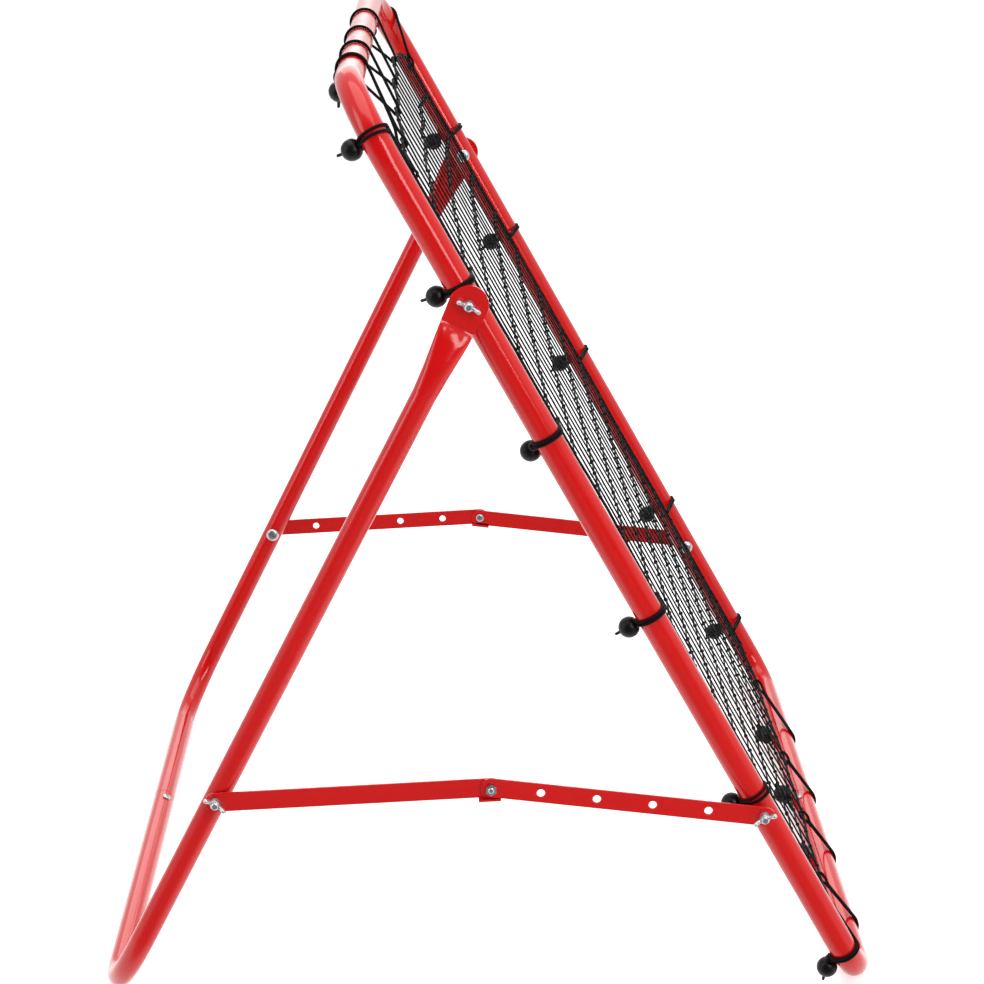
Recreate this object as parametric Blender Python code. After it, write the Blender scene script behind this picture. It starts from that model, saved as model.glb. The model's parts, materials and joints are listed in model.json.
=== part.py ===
"""A folding football rebounder: a net laced into a tube frame that leans on a folding leg.

Metres, +Z up. The net faces -Y, the leg stands behind it, and the origin is under the middle.
Two folding stays, one each side, lock the leg open.
"""

import math

import bmesh
import bpy
from mathutils import Matrix, Vector

# Net frame
FRAME_WIDTH = 0.705  # between the axes of the two side tubes
FRAME_LENGTH = 0.8407  # between the axes of the top and the bottom tube
FRAME_TUBE_D = 0.0225
FRAME_BEND_R = 0.065
FRAME_LEAN = math.radians(27.97)  # from upright
TUBE_WALL = 0.0012

# Rear leg
LEG_LENGTH = 0.662  # from the pivot to the axis of its bottom tube
LEG_TUBE_D = 0.0193
LEG_BEND_R = 0.070
PIVOT_FROM_TOP = 0.1847  # from the axis of the top tube, along the frame
EAR_THICK = 0.0026  # the leg's flattened end
EAR_RADIUS = 0.0155
EAR_FLAT_BELOW = 0.020  # how far the flat goes on below the pivot
EAR_SHOULDER = 0.045  # from flat to round

# Slip joints, where the left and the right half of a tube loop meet
FRAME_JOINT_X = 0.015
LEG_JOINT_X = 0.075
SPIGOT_LENGTH = 0.035
SPIGOT_WALL = 0.0012
JOINT_SCREW_BACK = 0.015  # from the end of the outer tube
JOINT_SCREW_D = 0.0035
JOINT_SCREW_HEAD_D = 0.0078
JOINT_SCREW_HEAD_H = 0.0020

# Folding stays
STAY_FROM_PIVOT_ON_LEG = 0.453
STAY_FROM_PIVOT_ON_FRAME = 0.481
STAY_RISE = math.radians(4.8)  # how far each strip rises to the middle hinge
STRIP_WIDTH = 0.016
STRIP_THICK = 0.002
HINGE_DROP = 0.0007  # the holed strip's hinge hole lies this far under its middle line
ADJUST_STEP_SHARE = 0.2047  # of the distance between the strip's two pivots
ADJUST_HOLES = 5
STOP_LIP_THICK = 0.0018
STOP_LIP_BEHIND = 0.0105
STOP_LIP_INSET = 0.0003

# Bolts, nuts and washers
BOLT_D = 0.006
BOLT_HEAD_D = 0.013
BOLT_HEAD_H = 0.0036
BOLT_PAST_NUT = 0.0015
WING_HUB_BASE_D = 0.0105
WING_HUB_TOP_D = 0.0080
WING_HUB_H = 0.0070
WING_SPAN = 0.023
WING_THICK = 0.0022
JAM_NUT_ACROSS = 0.010
WASHER_D = 0.0125
HINGE_BOLT_D = 0.005
HINGE_HEAD_D = 0.0085
HINGE_HEAD_H = 0.0022
HINGE_NUT_ACROSS = 0.008
HINGE_NUT_H = 0.0035

# Net and its elastic loops
NET_SIDE_INSET = 0.030  # from a side tube's axis to the net's edge
NET_TOP_INSET = 0.070
NET_BOTTOM_INSET = 0.048
NET_COLUMNS = 15
NET_ROWS = 16
NET_CORD = 0.0020
NET_EDGE = 0.0040
NET_THICK = 0.0022
ELASTIC_D = 0.0024
BALL_D = 0.018
BALL_INBOARD = 0.004
STRAND_STEP = 0.0029  # between the two strands of a loop, middle to middle
FLOOR_FLAT = 0.1  # share of the elastic that is pressed flat on the ground

# Where the loops are tied: the side loops as shares of the frame's length, from the top tube's
# axis, and the others as shares of its width, from the near side
NEAR_LOOPS = (0.0440, 0.1965, 0.3780, 0.5730, 0.7692, 0.9620)
FAR_LOOPS = (0.0300, 0.1880, 0.3300, 0.5060, 0.7310, 0.9120)
TOP_LOOPS = (0.1723, 0.2943, 0.4447, 0.6433)
BOTTOM_LOOPS = (0.1362, 0.3305, 0.5220, 0.7400)

# Fits
GAP = 0.0003  # between pieces that touch
THREAD_GAP = 0.0003
OPEN_PAST = 0.002  # how far a cutter runs past an open end
STEP_LEAD = 0.0004  # a step between two diameters is a steep cone
STEP_BEHIND = 0.003  # a spigot's bore widens this far behind the outside's step
STAY_OFF_LOOPS = 0.0004  # the folding strips pass outside the elastic loops

# Facets
TUBE_SIDES = 12
ROUND = 12
BEND_STEPS = 6
WRAP_STEPS = 5

# Worked out from the sizes above
LIP_BELOW = HINGE_DROP + GAP  # the stop lip clears the holed strip's end as it folds
FRAME_R = FRAME_TUBE_D / 2
LEG_R = LEG_TUBE_D / 2
HALF_WIDTH = FRAME_WIDTH / 2
ELASTIC_R = ELASTIC_D / 2
WRAP_R = FRAME_R + GAP + ELASTIC_R
HALF_WRAP_STEP = math.radians(17.5)
WRAP_POINT_R = WRAP_R / math.cos(HALF_WRAP_STEP)
FRAME_AXIS_Z = WRAP_R + ELASTIC_R * (1 - 2 * FLOOR_FLAT)
LEG_APOTHEM = LEG_R * math.cos(math.pi / TUBE_SIDES)
PIVOT_UP_FRAME = FRAME_LENGTH - PIVOT_FROM_TOP
PIVOT_Z = FRAME_AXIS_Z + PIVOT_UP_FRAME * math.cos(FRAME_LEAN)
LEG_LEAN = math.acos((PIVOT_Z - LEG_APOTHEM) / LEG_LENGTH)
BASE_DEPTH = PIVOT_UP_FRAME * math.sin(FRAME_LEAN) + LEG_LENGTH * math.sin(LEG_LEAN)
FRONT_REACH = WRAP_R + ELASTIC_R
FRAME_AXIS_Y = (FRONT_REACH - BASE_DEPTH - LEG_R) / 2
PIVOT_Y = FRAME_AXIS_Y + PIVOT_UP_FRAME * math.sin(FRAME_LEAN)

# The stacks of pieces on the outer sides, as distances out from the frame's side tube axis
EAR_IN = FRAME_R + GAP
EAR_OUT = EAR_IN + EAR_THICK
LEG_AXIS_OUT = EAR_IN + LEG_R
PLAIN_IN = FRAME_R + GAP + ELASTIC_D + GAP + STAY_OFF_LOOPS + 0.0003
PLAIN_OUT = PLAIN_IN + STRIP_THICK
HOLED_IN = PLAIN_OUT + GAP
HOLED_OUT = HOLED_IN + STRIP_THICK
LEG_FACE_AT_STAY = PLAIN_IN - 0.0014
LEG_AXIS_AT_STAY = LEG_FACE_AT_STAY - LEG_R
SHOULDER_END = EAR_FLAT_BELOW + EAR_SHOULDER
LEG_SPLAY = (LEG_AXIS_OUT - LEG_AXIS_AT_STAY) / (STAY_FROM_PIVOT_ON_LEG - SHOULDER_END)
LEG_AXIS_AT_FOOT = LEG_AXIS_AT_STAY - LEG_SPLAY * (LEG_LENGTH - STAY_FROM_PIVOT_ON_LEG)

NEAR = -1
FAR = 1
SIDES = {"near": NEAR, "far": FAR}


def clear_scene():
    """Starts from an empty file."""
    for obj in list(bpy.data.objects):
        bpy.data.objects.remove(obj, do_unlink=True)


def new_collection(name):
    made = bpy.data.collections.new(name)
    bpy.context.scene.collection.children.link(made)
    return made


clear_scene()
PARTS = new_collection("football_rebounder")
CUTTERS = new_collection("cutters")


def material(name, colour, roughness, metallic):
    """A plain Principled material."""
    made = bpy.data.materials.new(name)
    made.use_nodes = True
    shader = made.node_tree.nodes["Principled BSDF"]
    shader.inputs["Base Color"].default_value = (*colour, 1.0)
    shader.inputs["Roughness"].default_value = roughness
    shader.inputs["Metallic"].default_value = metallic
    return made


RED_PAINT = material("red_paint", (0.60, 0.010, 0.010), 0.25, 0.0)
ZINC = material("zinc_plated_steel", (0.62, 0.65, 0.68), 0.35, 1.0)
NET_BLACK = material("net_cord", (0.012, 0.012, 0.013), 0.8, 0.0)
ELASTIC_BLACK = material("elastic", (0.015, 0.015, 0.016), 0.55, 0.0)


# Axes that the pieces are placed on
def empty(name, location, turn):
    made = bpy.data.objects.new(name, None)
    made.location = location
    made.rotation_euler = (turn, 0, 0)
    PARTS.objects.link(made)
    return made


FRAME_AXES = empty("frame_axes", (0, FRAME_AXIS_Y, FRAME_AXIS_Z), -FRAME_LEAN)
LEG_AXES = empty("leg_fold_axis", (0, PIVOT_Y, PIVOT_Z), LEG_LEAN)
bpy.context.view_layer.update()


def frame_place(x, up, front=0.0):
    """A point in the world from its place on the frame: across, up the frame, in front of its axes."""
    return FRAME_AXES.matrix_world @ Vector((x, -front, up))


def leg_place(x, down, back=0.0):
    """A point in the world from its place on the leg: across, down from the pivot, behind its axis."""
    return LEG_AXES.matrix_world @ Vector((x, back, -down))


def add_part(name, mesh, finish, parent=None, matrix=None):
    """A mesh becomes a named part."""
    made = bpy.data.objects.new(name, mesh)
    mesh.materials.clear()
    mesh.materials.append(finish)
    PARTS.objects.link(made)
    if parent is not None:
        made.parent = parent
    if matrix is not None:
        made.matrix_local = matrix
    return made


def add_cutter(name, mesh, parent=None, matrix=None):
    """A mesh becomes a hidden tool for a Boolean."""
    made = bpy.data.objects.new(name, mesh)
    made.hide_render = True
    made.display_type = "WIRE"
    CUTTERS.objects.link(made)
    if parent is not None:
        made.parent = parent
    if matrix is not None:
        made.matrix_local = matrix
    return made


def combine(obj, tool, operation):
    """DIFFERENCE cuts the tool out of the part, and UNION joins it on."""
    step = obj.modifiers.new(tool.name, "BOOLEAN")
    step.operation = operation
    step.solver = "EXACT"
    step.object = tool


def smooth(mesh):
    mesh.shade_smooth()
    mesh.set_sharp_from_angle(angle=math.radians(35))


# Shapes
def mesh_of_curve(curve):
    """The closed mesh of a curve with filled caps."""
    holder = bpy.data.objects.new("curve_holder", curve)
    bpy.context.scene.collection.objects.link(holder)
    bpy.context.view_layer.update()
    seen = holder.evaluated_get(bpy.context.evaluated_depsgraph_get())
    mesh = bpy.data.meshes.new_from_object(seen)
    bpy.data.objects.remove(holder, do_unlink=True)
    bpy.data.curves.remove(curve)
    work = bmesh.new()
    work.from_mesh(mesh)
    bmesh.ops.remove_doubles(work, verts=work.verts, dist=1e-6)
    bmesh.ops.recalc_face_normals(work, faces=work.faces)
    work.to_mesh(mesh)
    work.free()
    return mesh


def tube(points, radii, sides):
    """A round tube along points, with a radius at each."""
    curve = bpy.data.curves.new("tube", "CURVE")
    curve.dimensions = "3D"
    curve.bevel_depth = 1.0
    curve.bevel_resolution = (sides - 4) // 2
    curve.use_fill_caps = True
    spline = curve.splines.new("POLY")
    spline.points.add(len(points) - 1)
    for knot, place, radius in zip(spline.points, points, radii, strict=True):
        knot.co = (*place, 1.0)
        knot.radius = radius
    mesh = mesh_of_curve(curve)
    smooth(mesh)
    return mesh


def plate(outline, holes, thick):
    """A flat piece from its outline, with round holes. It lies in X-Y, half its thickness each way."""
    curve = bpy.data.curves.new("plate", "CURVE")
    curve.dimensions = "2D"
    curve.fill_mode = "BOTH"
    curve.extrude = thick / 2
    rings = [outline]
    for x, y, diameter in holes:
        turns = [math.tau * i / ROUND for i in range(ROUND)]
        rings.append([(x + diameter / 2 * math.cos(a), y + diameter / 2 * math.sin(a)) for a in turns])
    for ring in rings:
        spline = curve.splines.new("POLY")
        spline.points.add(len(ring) - 1)
        spline.use_cyclic_u = True
        for knot, (x, y) in zip(spline.points, ring, strict=True):
            knot.co = (x, y, 0, 1)
    return mesh_of_curve(curve)


def cylinder(radius, start, end, sides=ROUND, end_radius=None):
    """A round bar along X, or a cone where end_radius is given."""
    work = bmesh.new()
    bmesh.ops.create_cone(
        work,
        cap_ends=True,
        segments=sides,
        radius1=radius,
        radius2=radius if end_radius is None else end_radius,
        depth=end - start,
    )
    lay = Matrix.Translation(((start + end) / 2, 0, 0)) @ Matrix.Rotation(math.pi / 2, 4, "Y")
    bmesh.ops.transform(work, matrix=lay, verts=work.verts)
    mesh = bpy.data.meshes.new("cylinder")
    work.to_mesh(mesh)
    work.free()
    smooth(mesh)
    return mesh


def box(low, high):
    """A block between two corners."""
    work = bmesh.new()
    bmesh.ops.create_cube(work, size=1.0)
    low, high = Vector(low), Vector(high)
    grow = Matrix.Diagonal((*(high - low), 1.0))
    bmesh.ops.transform(work, matrix=Matrix.Translation((low + high) / 2) @ grow, verts=work.verts)
    mesh = bpy.data.meshes.new("box")
    work.to_mesh(mesh)
    work.free()
    return mesh


def turned(profile, sides=ROUND):
    """A turned piece about X, from its outline as (along, radius) pairs that start and end on the axis."""
    work = bmesh.new()
    ends = []
    rings = []
    for along, radius in profile:
        if radius == 0:
            ends.append(work.verts.new((along, 0, 0)))
            rings.append(None)
            continue
        turns = [math.tau * i / sides for i in range(sides)]
        rings.append([work.verts.new((along, radius * math.cos(a), radius * math.sin(a))) for a in turns])
    work.verts.ensure_lookup_table()
    solid_rings = [ring for ring in rings if ring]
    for first, second in zip(solid_rings, solid_rings[1:]):
        for i in range(sides):
            j = (i + 1) % sides
            work.faces.new((first[i], first[j], second[j], second[i]))
    for tip, ring in ((ends[0], solid_rings[0]), (ends[1], solid_rings[-1])):
        for i in range(sides):
            work.faces.new((tip, ring[i], ring[(i + 1) % sides]))
    bmesh.ops.recalc_face_normals(work, faces=work.faces)
    mesh = bpy.data.meshes.new("turned")
    work.to_mesh(mesh)
    work.free()
    smooth(mesh)
    return mesh


def side_matrix(side, y, z, x=None):
    """The outer side of a side tube: +X points outwards from the object, on both sides."""
    out = HALF_WIDTH if x is None else x
    turn = Matrix.Rotation(0 if side == FAR else math.pi, 4, "Z")
    return Matrix.Translation((side * out, y, z)) @ turn


def fillet(before, corner, after, radius, steps=BEND_STEPS):
    """The points of a round bend between two straight runs."""
    before, corner, after = Vector(before), Vector(corner), Vector(after)
    towards = (before - corner).normalized()
    away = (after - corner).normalized()
    half = towards.angle(away) / 2
    back = radius / math.tan(half)
    middle = corner + (towards + away).normalized() * (radius / math.sin(half))
    start = corner + towards * back - middle
    swing = math.pi - 2 * half
    axis = start.cross(corner + away * back - middle).normalized()
    return [middle + Matrix.Rotation(swing * i / steps, 3, axis) @ start for i in range(steps + 1)]


# The net frame: two halves, bent alike, that slip together at the middle of the top and bottom
def frame_half_path(side, joint_x, run_on):
    """The axis of one half, from the bottom joint round to the top joint."""
    x = side * HALF_WIDTH
    low, high = Vector((x, 0, 0)), Vector((x, 0, FRAME_LENGTH))
    bottom_end = Vector((joint_x - side * run_on, 0, 0))
    top_end = Vector((joint_x - side * run_on, 0, FRAME_LENGTH))
    path = [bottom_end]
    path += fillet(bottom_end, low, high, FRAME_BEND_R)
    path += fillet(low, high, top_end, FRAME_BEND_R)
    path.append(top_end)
    return path


def with_spigots(path, side, length, outer, spigot):
    """The path and radii of a half whose two ends step down to fit inside the other half."""
    step = Vector((side * length, 0, 0))
    lead = Vector((side * STEP_LEAD, 0, 0))
    first, last = path[0], path[-1]
    points = [first, first + step, first + step + lead, *path[1:-1], last + step + lead, last + step, last]
    radii = [spigot, spigot, outer] + [outer] * (len(path) - 2) + [outer, spigot, spigot]
    return points, radii


def frame_half(name, side):
    """The near half is the outer tube of both joints; the far half has the spigots."""
    spigot_r = (FRAME_R - TUBE_WALL - GAP) * math.cos(math.pi / 8)
    if side == NEAR:
        path = frame_half_path(side, FRAME_JOINT_X, 0)
        body = tube(path, [FRAME_R] * len(path), TUBE_SIDES)
        bore_path = frame_half_path(side, FRAME_JOINT_X, OPEN_PAST)
        bore = tube(bore_path, [FRAME_R - TUBE_WALL] * len(bore_path), 8)
    else:
        path = frame_half_path(side, FRAME_JOINT_X + GAP, SPIGOT_LENGTH)
        points, radii = with_spigots(path, side, SPIGOT_LENGTH, FRAME_R, spigot_r)
        body = tube(points, radii, TUBE_SIDES)
        bore_path = frame_half_path(side, FRAME_JOINT_X + GAP, SPIGOT_LENGTH + OPEN_PAST)
        length = SPIGOT_LENGTH + OPEN_PAST + STEP_BEHIND
        points, radii = with_spigots(bore_path, side, length, FRAME_R - TUBE_WALL, spigot_r - SPIGOT_WALL)
        bore = tube(points, radii, 8)
    half = add_part(name, body, RED_PAINT, FRAME_AXES)
    combine(half, add_cutter(f"{name}_bore", bore, FRAME_AXES), "DIFFERENCE")
    for label, up in (
        ("pivot", PIVOT_UP_FRAME),
        ("stay", PIVOT_UP_FRAME - STAY_FROM_PIVOT_ON_FRAME),
    ):
        hole = cylinder(BOLT_D / 2 + THREAD_GAP, -FRAME_R * 1.5, FRAME_R * 1.5)
        where = Matrix.Translation((side * HALF_WIDTH, 0, up))
        combine(half, add_cutter(f"{name}_{label}_hole", hole, FRAME_AXES, where), "DIFFERENCE")
    for label, up, inward in (("bottom", 0, 1), ("top", FRAME_LENGTH, -1)):
        hole = screw_hole(name, label, FRAME_AXES, (FRAME_JOINT_X - JOINT_SCREW_BACK, 0, up), inward, FRAME_R)
        combine(half, hole, "DIFFERENCE")
    return half


def screw_hole(name, label, parent, place, inward, tube_r):
    """A hole for a joint screw, through the tube's inner wall only."""
    hole = cylinder(JOINT_SCREW_D / 2 + THREAD_GAP, 0, tube_r * 1.5, 8)
    turn = Matrix.Rotation(-inward * math.pi / 2, 4, "Y")
    return add_cutter(f"{name}_{label}_screw_hole", hole, parent, Matrix.Translation(place) @ turn)


def joint_screw(name, parent, place, inward, tube_r):
    """A pan head screw that holds a slip joint, with its head on the inner side of the tube."""
    head_start = tube_r + GAP
    shank_r = JOINT_SCREW_D / 2
    profile = (
        (tube_r - TUBE_WALL - 0.006, 0),
        (tube_r - TUBE_WALL - 0.006, shank_r * 0.6),
        (tube_r - TUBE_WALL - 0.004, shank_r),
        (head_start, shank_r),
        (head_start, JOINT_SCREW_HEAD_D / 2),
        (head_start + JOINT_SCREW_HEAD_H * 0.6, JOINT_SCREW_HEAD_D / 2 * 0.9),
        (head_start + JOINT_SCREW_HEAD_H, JOINT_SCREW_HEAD_D / 2 * 0.5),
        (head_start + JOINT_SCREW_HEAD_H, 0),
    )
    turn = Matrix.Rotation(-inward * math.pi / 2, 4, "Y")
    add_part(name, turned(profile, 10), ZINC, parent, Matrix.Translation(place) @ turn)


# The leg: two halves whose tops are pressed flat where they bolt to the frame
def ear_half_width(down):
    """The rounded outline of the flattened end."""
    if down >= 0:
        return EAR_RADIUS
    return math.sqrt(max(EAR_RADIUS**2 - down**2, 0))


def leg_stations(side, joint_x, round_end):
    """Where the leg's sections stand: centre across and down, direction, and how flat each is."""
    stations = []
    for down in (-EAR_RADIUS * 0.985, -EAR_RADIUS * 0.85, -EAR_RADIUS * 0.55, 0.0, EAR_FLAT_BELOW):
        stations.append((Vector((EAR_IN + EAR_THICK / 2, down)), Vector((0, 1)), 1.0, ear_half_width(down)))
    for share, flat in ((0.2, 0.82), (0.5, 0.42), (0.8, 0.1)):
        down = EAR_FLAT_BELOW + EAR_SHOULDER * share
        half_thick = LEG_R * (1 - flat) + EAR_THICK / 2 * flat
        half_wide = LEG_R * (1 - flat) + EAR_RADIUS * flat
        stations.append((Vector((EAR_IN + half_thick, down)), Vector((0, 1)), flat, half_wide))
    shoulder = Vector((LEG_AXIS_OUT, SHOULDER_END, 0))
    foot = Vector((LEG_AXIS_AT_FOOT, LEG_LENGTH, 0))
    end = Vector((-HALF_WIDTH + side * joint_x, LEG_LENGTH, 0))
    path = [shoulder, *fillet(shoulder, foot, end, LEG_BEND_R), *round_end(end)]
    for i, place in enumerate(path):
        ahead = path[min(i + 1, len(path) - 1)]
        behind = path[max(i - 1, 0)]
        if i == 0:
            run = ahead - place
        elif i == len(path) - 1:
            run = place - behind
        else:
            run = (ahead - place).normalized() + (place - behind).normalized()
        stations.append((place.xy, run.xy.normalized(), 0.0, LEG_R))
    return stations


def leg_section(flat, half_wide, radius, turn):
    """One closed section: a circle, or a pressed one as flat goes to 1. Across, then along the leg's Y."""
    half_thick = radius * (1 - flat) + EAR_THICK / 2 * flat
    square = 1 + 1.6 * flat
    ring = []
    for i in range(TUBE_SIDES):
        a = turn + math.tau * (i + 0.5) / TUBE_SIDES
        out = max(-1.0, min(1.0, square * math.cos(a))) * half_thick
        ring.append((out, math.sin(a) * half_wide))
    return ring


def leg_body(side, stations, radii, turn):
    """Lofts the sections into one closed skin."""
    work = bmesh.new()
    rings = []
    for (place, run, flat, half_wide), radius in zip(stations, radii, strict=True):
        across = Vector((run.y, -run.x))
        ring = []
        for out, back in leg_section(flat, half_wide if radius is None else radius, radius or LEG_R, turn):
            at = place + across * out
            ring.append(work.verts.new((side * (HALF_WIDTH + at.x), back, -at.y)))
        rings.append(ring)
    for first, second in zip(rings, rings[1:]):
        for i in range(TUBE_SIDES):
            j = (i + 1) % TUBE_SIDES
            work.faces.new((first[i], first[j], second[j], second[i]))
    work.faces.new(rings[0])
    work.faces.new(rings[-1])
    bmesh.ops.recalc_face_normals(work, faces=work.faces)
    mesh = bpy.data.meshes.new("leg")
    work.to_mesh(mesh)
    work.free()
    smooth(mesh)
    return mesh


def leg_half(name, side):
    """The near half is the outer tube of the slip joint; the far half has the spigot."""
    spigot_r = (LEG_R - TUBE_WALL - GAP) * math.cos(math.pi / 8)
    turn = -LEG_LEAN % (math.tau / TUBE_SIDES)
    if side == NEAR:
        stations = leg_stations(side, LEG_JOINT_X, lambda end: [end])
        radii = [None] * len(stations)
    else:
        step = Vector((SPIGOT_LENGTH, 0, 0))
        lead = Vector((STEP_LEAD, 0, 0))
        joint = LEG_JOINT_X + GAP + STEP_LEAD
        stations = leg_stations(side, joint, lambda end: [end, end - lead, end - lead - step])
        radii = [None] * (len(stations) - 2) + [spigot_r] * 2
    half = add_part(name, leg_body(side, stations, radii, turn), RED_PAINT, LEG_AXES)
    combine(half, leg_bore(name, side, spigot_r), "DIFFERENCE")
    pivot_hole = cylinder(BOLT_D / 2 + THREAD_GAP, EAR_IN - 0.003, EAR_OUT + 0.003)
    where = side_matrix(side, 0, 0)
    combine(half, add_cutter(f"{name}_pivot_hole", pivot_hole, LEG_AXES, where), "DIFFERENCE")
    through = LEG_R * 1.5
    stay_hole = cylinder(BOLT_D / 2 + THREAD_GAP, LEG_AXIS_AT_STAY - through, LEG_AXIS_AT_STAY + through)
    where = Matrix.Translation((0, 0, -STAY_FROM_PIVOT_ON_LEG)) @ where
    combine(half, add_cutter(f"{name}_stay_hole", stay_hole, LEG_AXES, where), "DIFFERENCE")
    place = (LEG_JOINT_X - JOINT_SCREW_BACK, 0, -LEG_LENGTH)
    combine(half, screw_hole(name, "joint", LEG_AXES, place, 1, LEG_R), "DIFFERENCE")
    return half


def leg_bore(name, side, spigot_r):
    """The hollow of a leg half, from the open joint up to the shoulder."""
    start = Vector((side * (HALF_WIDTH + LEG_AXIS_OUT - LEG_SPLAY * 0.012), 0, -SHOULDER_END - 0.012))
    foot = Vector((side * (HALF_WIDTH + LEG_AXIS_AT_FOOT), 0, -LEG_LENGTH))
    bore_r = LEG_R - TUBE_WALL
    if side == NEAR:
        end = Vector((LEG_JOINT_X + OPEN_PAST, 0, -LEG_LENGTH))
        path = [start, *fillet(start, foot, end, LEG_BEND_R), end]
        radii = [bore_r] * len(path)
    else:
        end = Vector((LEG_JOINT_X + GAP + STEP_BEHIND, 0, -LEG_LENGTH))
        step = Vector((STEP_BEHIND + SPIGOT_LENGTH + OPEN_PAST, 0, 0))
        lead = Vector((STEP_LEAD, 0, 0))
        path = [start, *fillet(start, foot, end, LEG_BEND_R), end, end - lead, end - step]
        radii = [bore_r] * (len(path) - 2) + [spigot_r - SPIGOT_WALL] * 2
    return add_cutter(f"{name}_bore", tube(path, radii, 8), LEG_AXES)


# Bolts, nuts and washers, all along X and built on the outer side of a side tube
def bolt(name, side, y, z, head_face, tip, diameter=BOLT_D, head_d=BOLT_HEAD_D, head_h=BOLT_HEAD_H):
    """A round head bolt. head_face is the face under the head, and tip the end of the thread."""
    profile = (
        (head_face - head_h, 0),
        (head_face - head_h, head_d * 0.22),
        (head_face - head_h * 0.75, head_d * 0.38),
        (head_face - head_h * 0.2, head_d * 0.5),
        (head_face, head_d * 0.5),
        (head_face, diameter / 2),
        (tip - 0.0006, diameter / 2),
        (tip, diameter / 2 - 0.0006),
        (tip, 0),
    )
    return add_part(name, turned(profile), ZINC, None, side_matrix(side, y, z))


def ring_piece(name, side, y, z, start, thick, outer_r, hole_r, sides):
    """A washer, or a hexagon nut where sides is 6."""
    made = add_part(name, cylinder(outer_r, start, start + thick, sides), ZINC, None, side_matrix(side, y, z))
    hole = add_cutter(
        f"{name}_hole", cylinder(hole_r, start - 0.002, start + thick + 0.002), None, side_matrix(side, y, z)
    )
    combine(made, hole, "DIFFERENCE")
    return made


def across_flats(size):
    return size / 2 / math.cos(math.pi / 6)


def wing_nut(name, side, y, z, start, turn):
    """A wing nut whose base stands at start. turn is the lie of its wings, seen from outside."""
    spin = side_matrix(side, y, z) @ Matrix.Rotation(turn, 4, "X")
    hub = cylinder(WING_HUB_BASE_D / 2, start, start + WING_HUB_H, ROUND, WING_HUB_TOP_D / 2)
    made = add_part(name, hub, ZINC, None, spin)
    for label, way in (("left", -1), ("right", 1)):
        root, tip = WING_HUB_TOP_D * 0.30, WING_SPAN / 2
        low, high = start + WING_HUB_H * 0.15, start + WING_HUB_H * 0.80
        rise = WING_HUB_H * 0.55
        outline = [
            (low, way * root),
            (low, way * root * 1.9),
            (high - 0.0005, way * (tip - 0.0012)),
            (high + rise * 0.45, way * tip),
            (high + rise, way * (tip - 0.0022)),
            (high + rise * 0.75, way * (tip - 0.0050)),
            (high, way * root * 1.5),
            (high, way * root),
        ]
        wing = plate(outline[::way], (), WING_THICK)
        combine(made, add_cutter(f"{name}_{label}_wing", wing, None, spin), "UNION")
    bore = cylinder(BOLT_D / 2 + THREAD_GAP, start - 0.002, start + 0.02)
    combine(made, add_cutter(f"{name}_hole", bore, None, spin), "DIFFERENCE")
    return made


# The folding stays: a plain strip and a strip with adjusting holes, each side
def strip_outline(length, tab_ahead=None):
    """A strip with round ends, along X from the first pivot to the second, and the tab of a stop lip."""
    radius = STRIP_WIDTH / 2
    turns = [math.pi / 2 + math.pi * i / 6 for i in range(7)]
    left = [(radius * math.cos(a), radius * math.sin(a)) for a in turns]
    right = [(length - x, -y) for x, y in left]
    if tab_ahead is None:
        return left + right
    low = -radius - LIP_BELOW - STOP_LIP_THICK + STOP_LIP_INSET
    behind, ahead = length - STOP_LIP_BEHIND + STOP_LIP_INSET, length + tab_ahead
    tab = [(behind, -radius), (behind, low), (ahead, low)]
    tab.append((ahead, -math.sqrt(radius**2 - tab_ahead**2)))
    return left + tab + [place for place in right if place[0] > ahead or place[1] > 0]


def strip_mesh(length, holes, thick_start, tab_ahead=None):
    """The strip along +Y with its width along Z, from thick_start outwards along X."""
    mesh = plate(strip_outline(length, tab_ahead), holes, STRIP_THICK)
    columns = Matrix(((0, 0, 1, thick_start + STRIP_THICK / 2), (1, 0, 0, 0), (0, 1, 0, 0), (0, 0, 0, 1)))
    mesh.transform(columns)
    return mesh


def stay_pivots(side):
    """Where one stay's three pivots stand, as (y, z): its plain end, its middle hinge, its holed end."""
    on_leg = leg_place(0, STAY_FROM_PIVOT_ON_LEG)
    on_frame = frame_place(0, PIVOT_UP_FRAME - STAY_FROM_PIVOT_ON_FRAME)
    plain_end, holed_end = (on_leg, on_frame) if side == NEAR else (on_frame, on_leg)
    span = holed_end - plain_end
    rise = Vector((0, -span.z, span.y)).normalized()
    if rise.z < 0:
        rise = -rise
    hinge = plain_end + span / 2 + rise * (span.length / 2 * math.tan(STAY_RISE))
    return plain_end, hinge, holed_end


def lie(side, start, end):
    """The turn about X that lays a strip from start to end, on its own side's axes."""
    run = end - start
    return math.atan2(run.z, run.y if side == FAR else -run.y)


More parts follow.
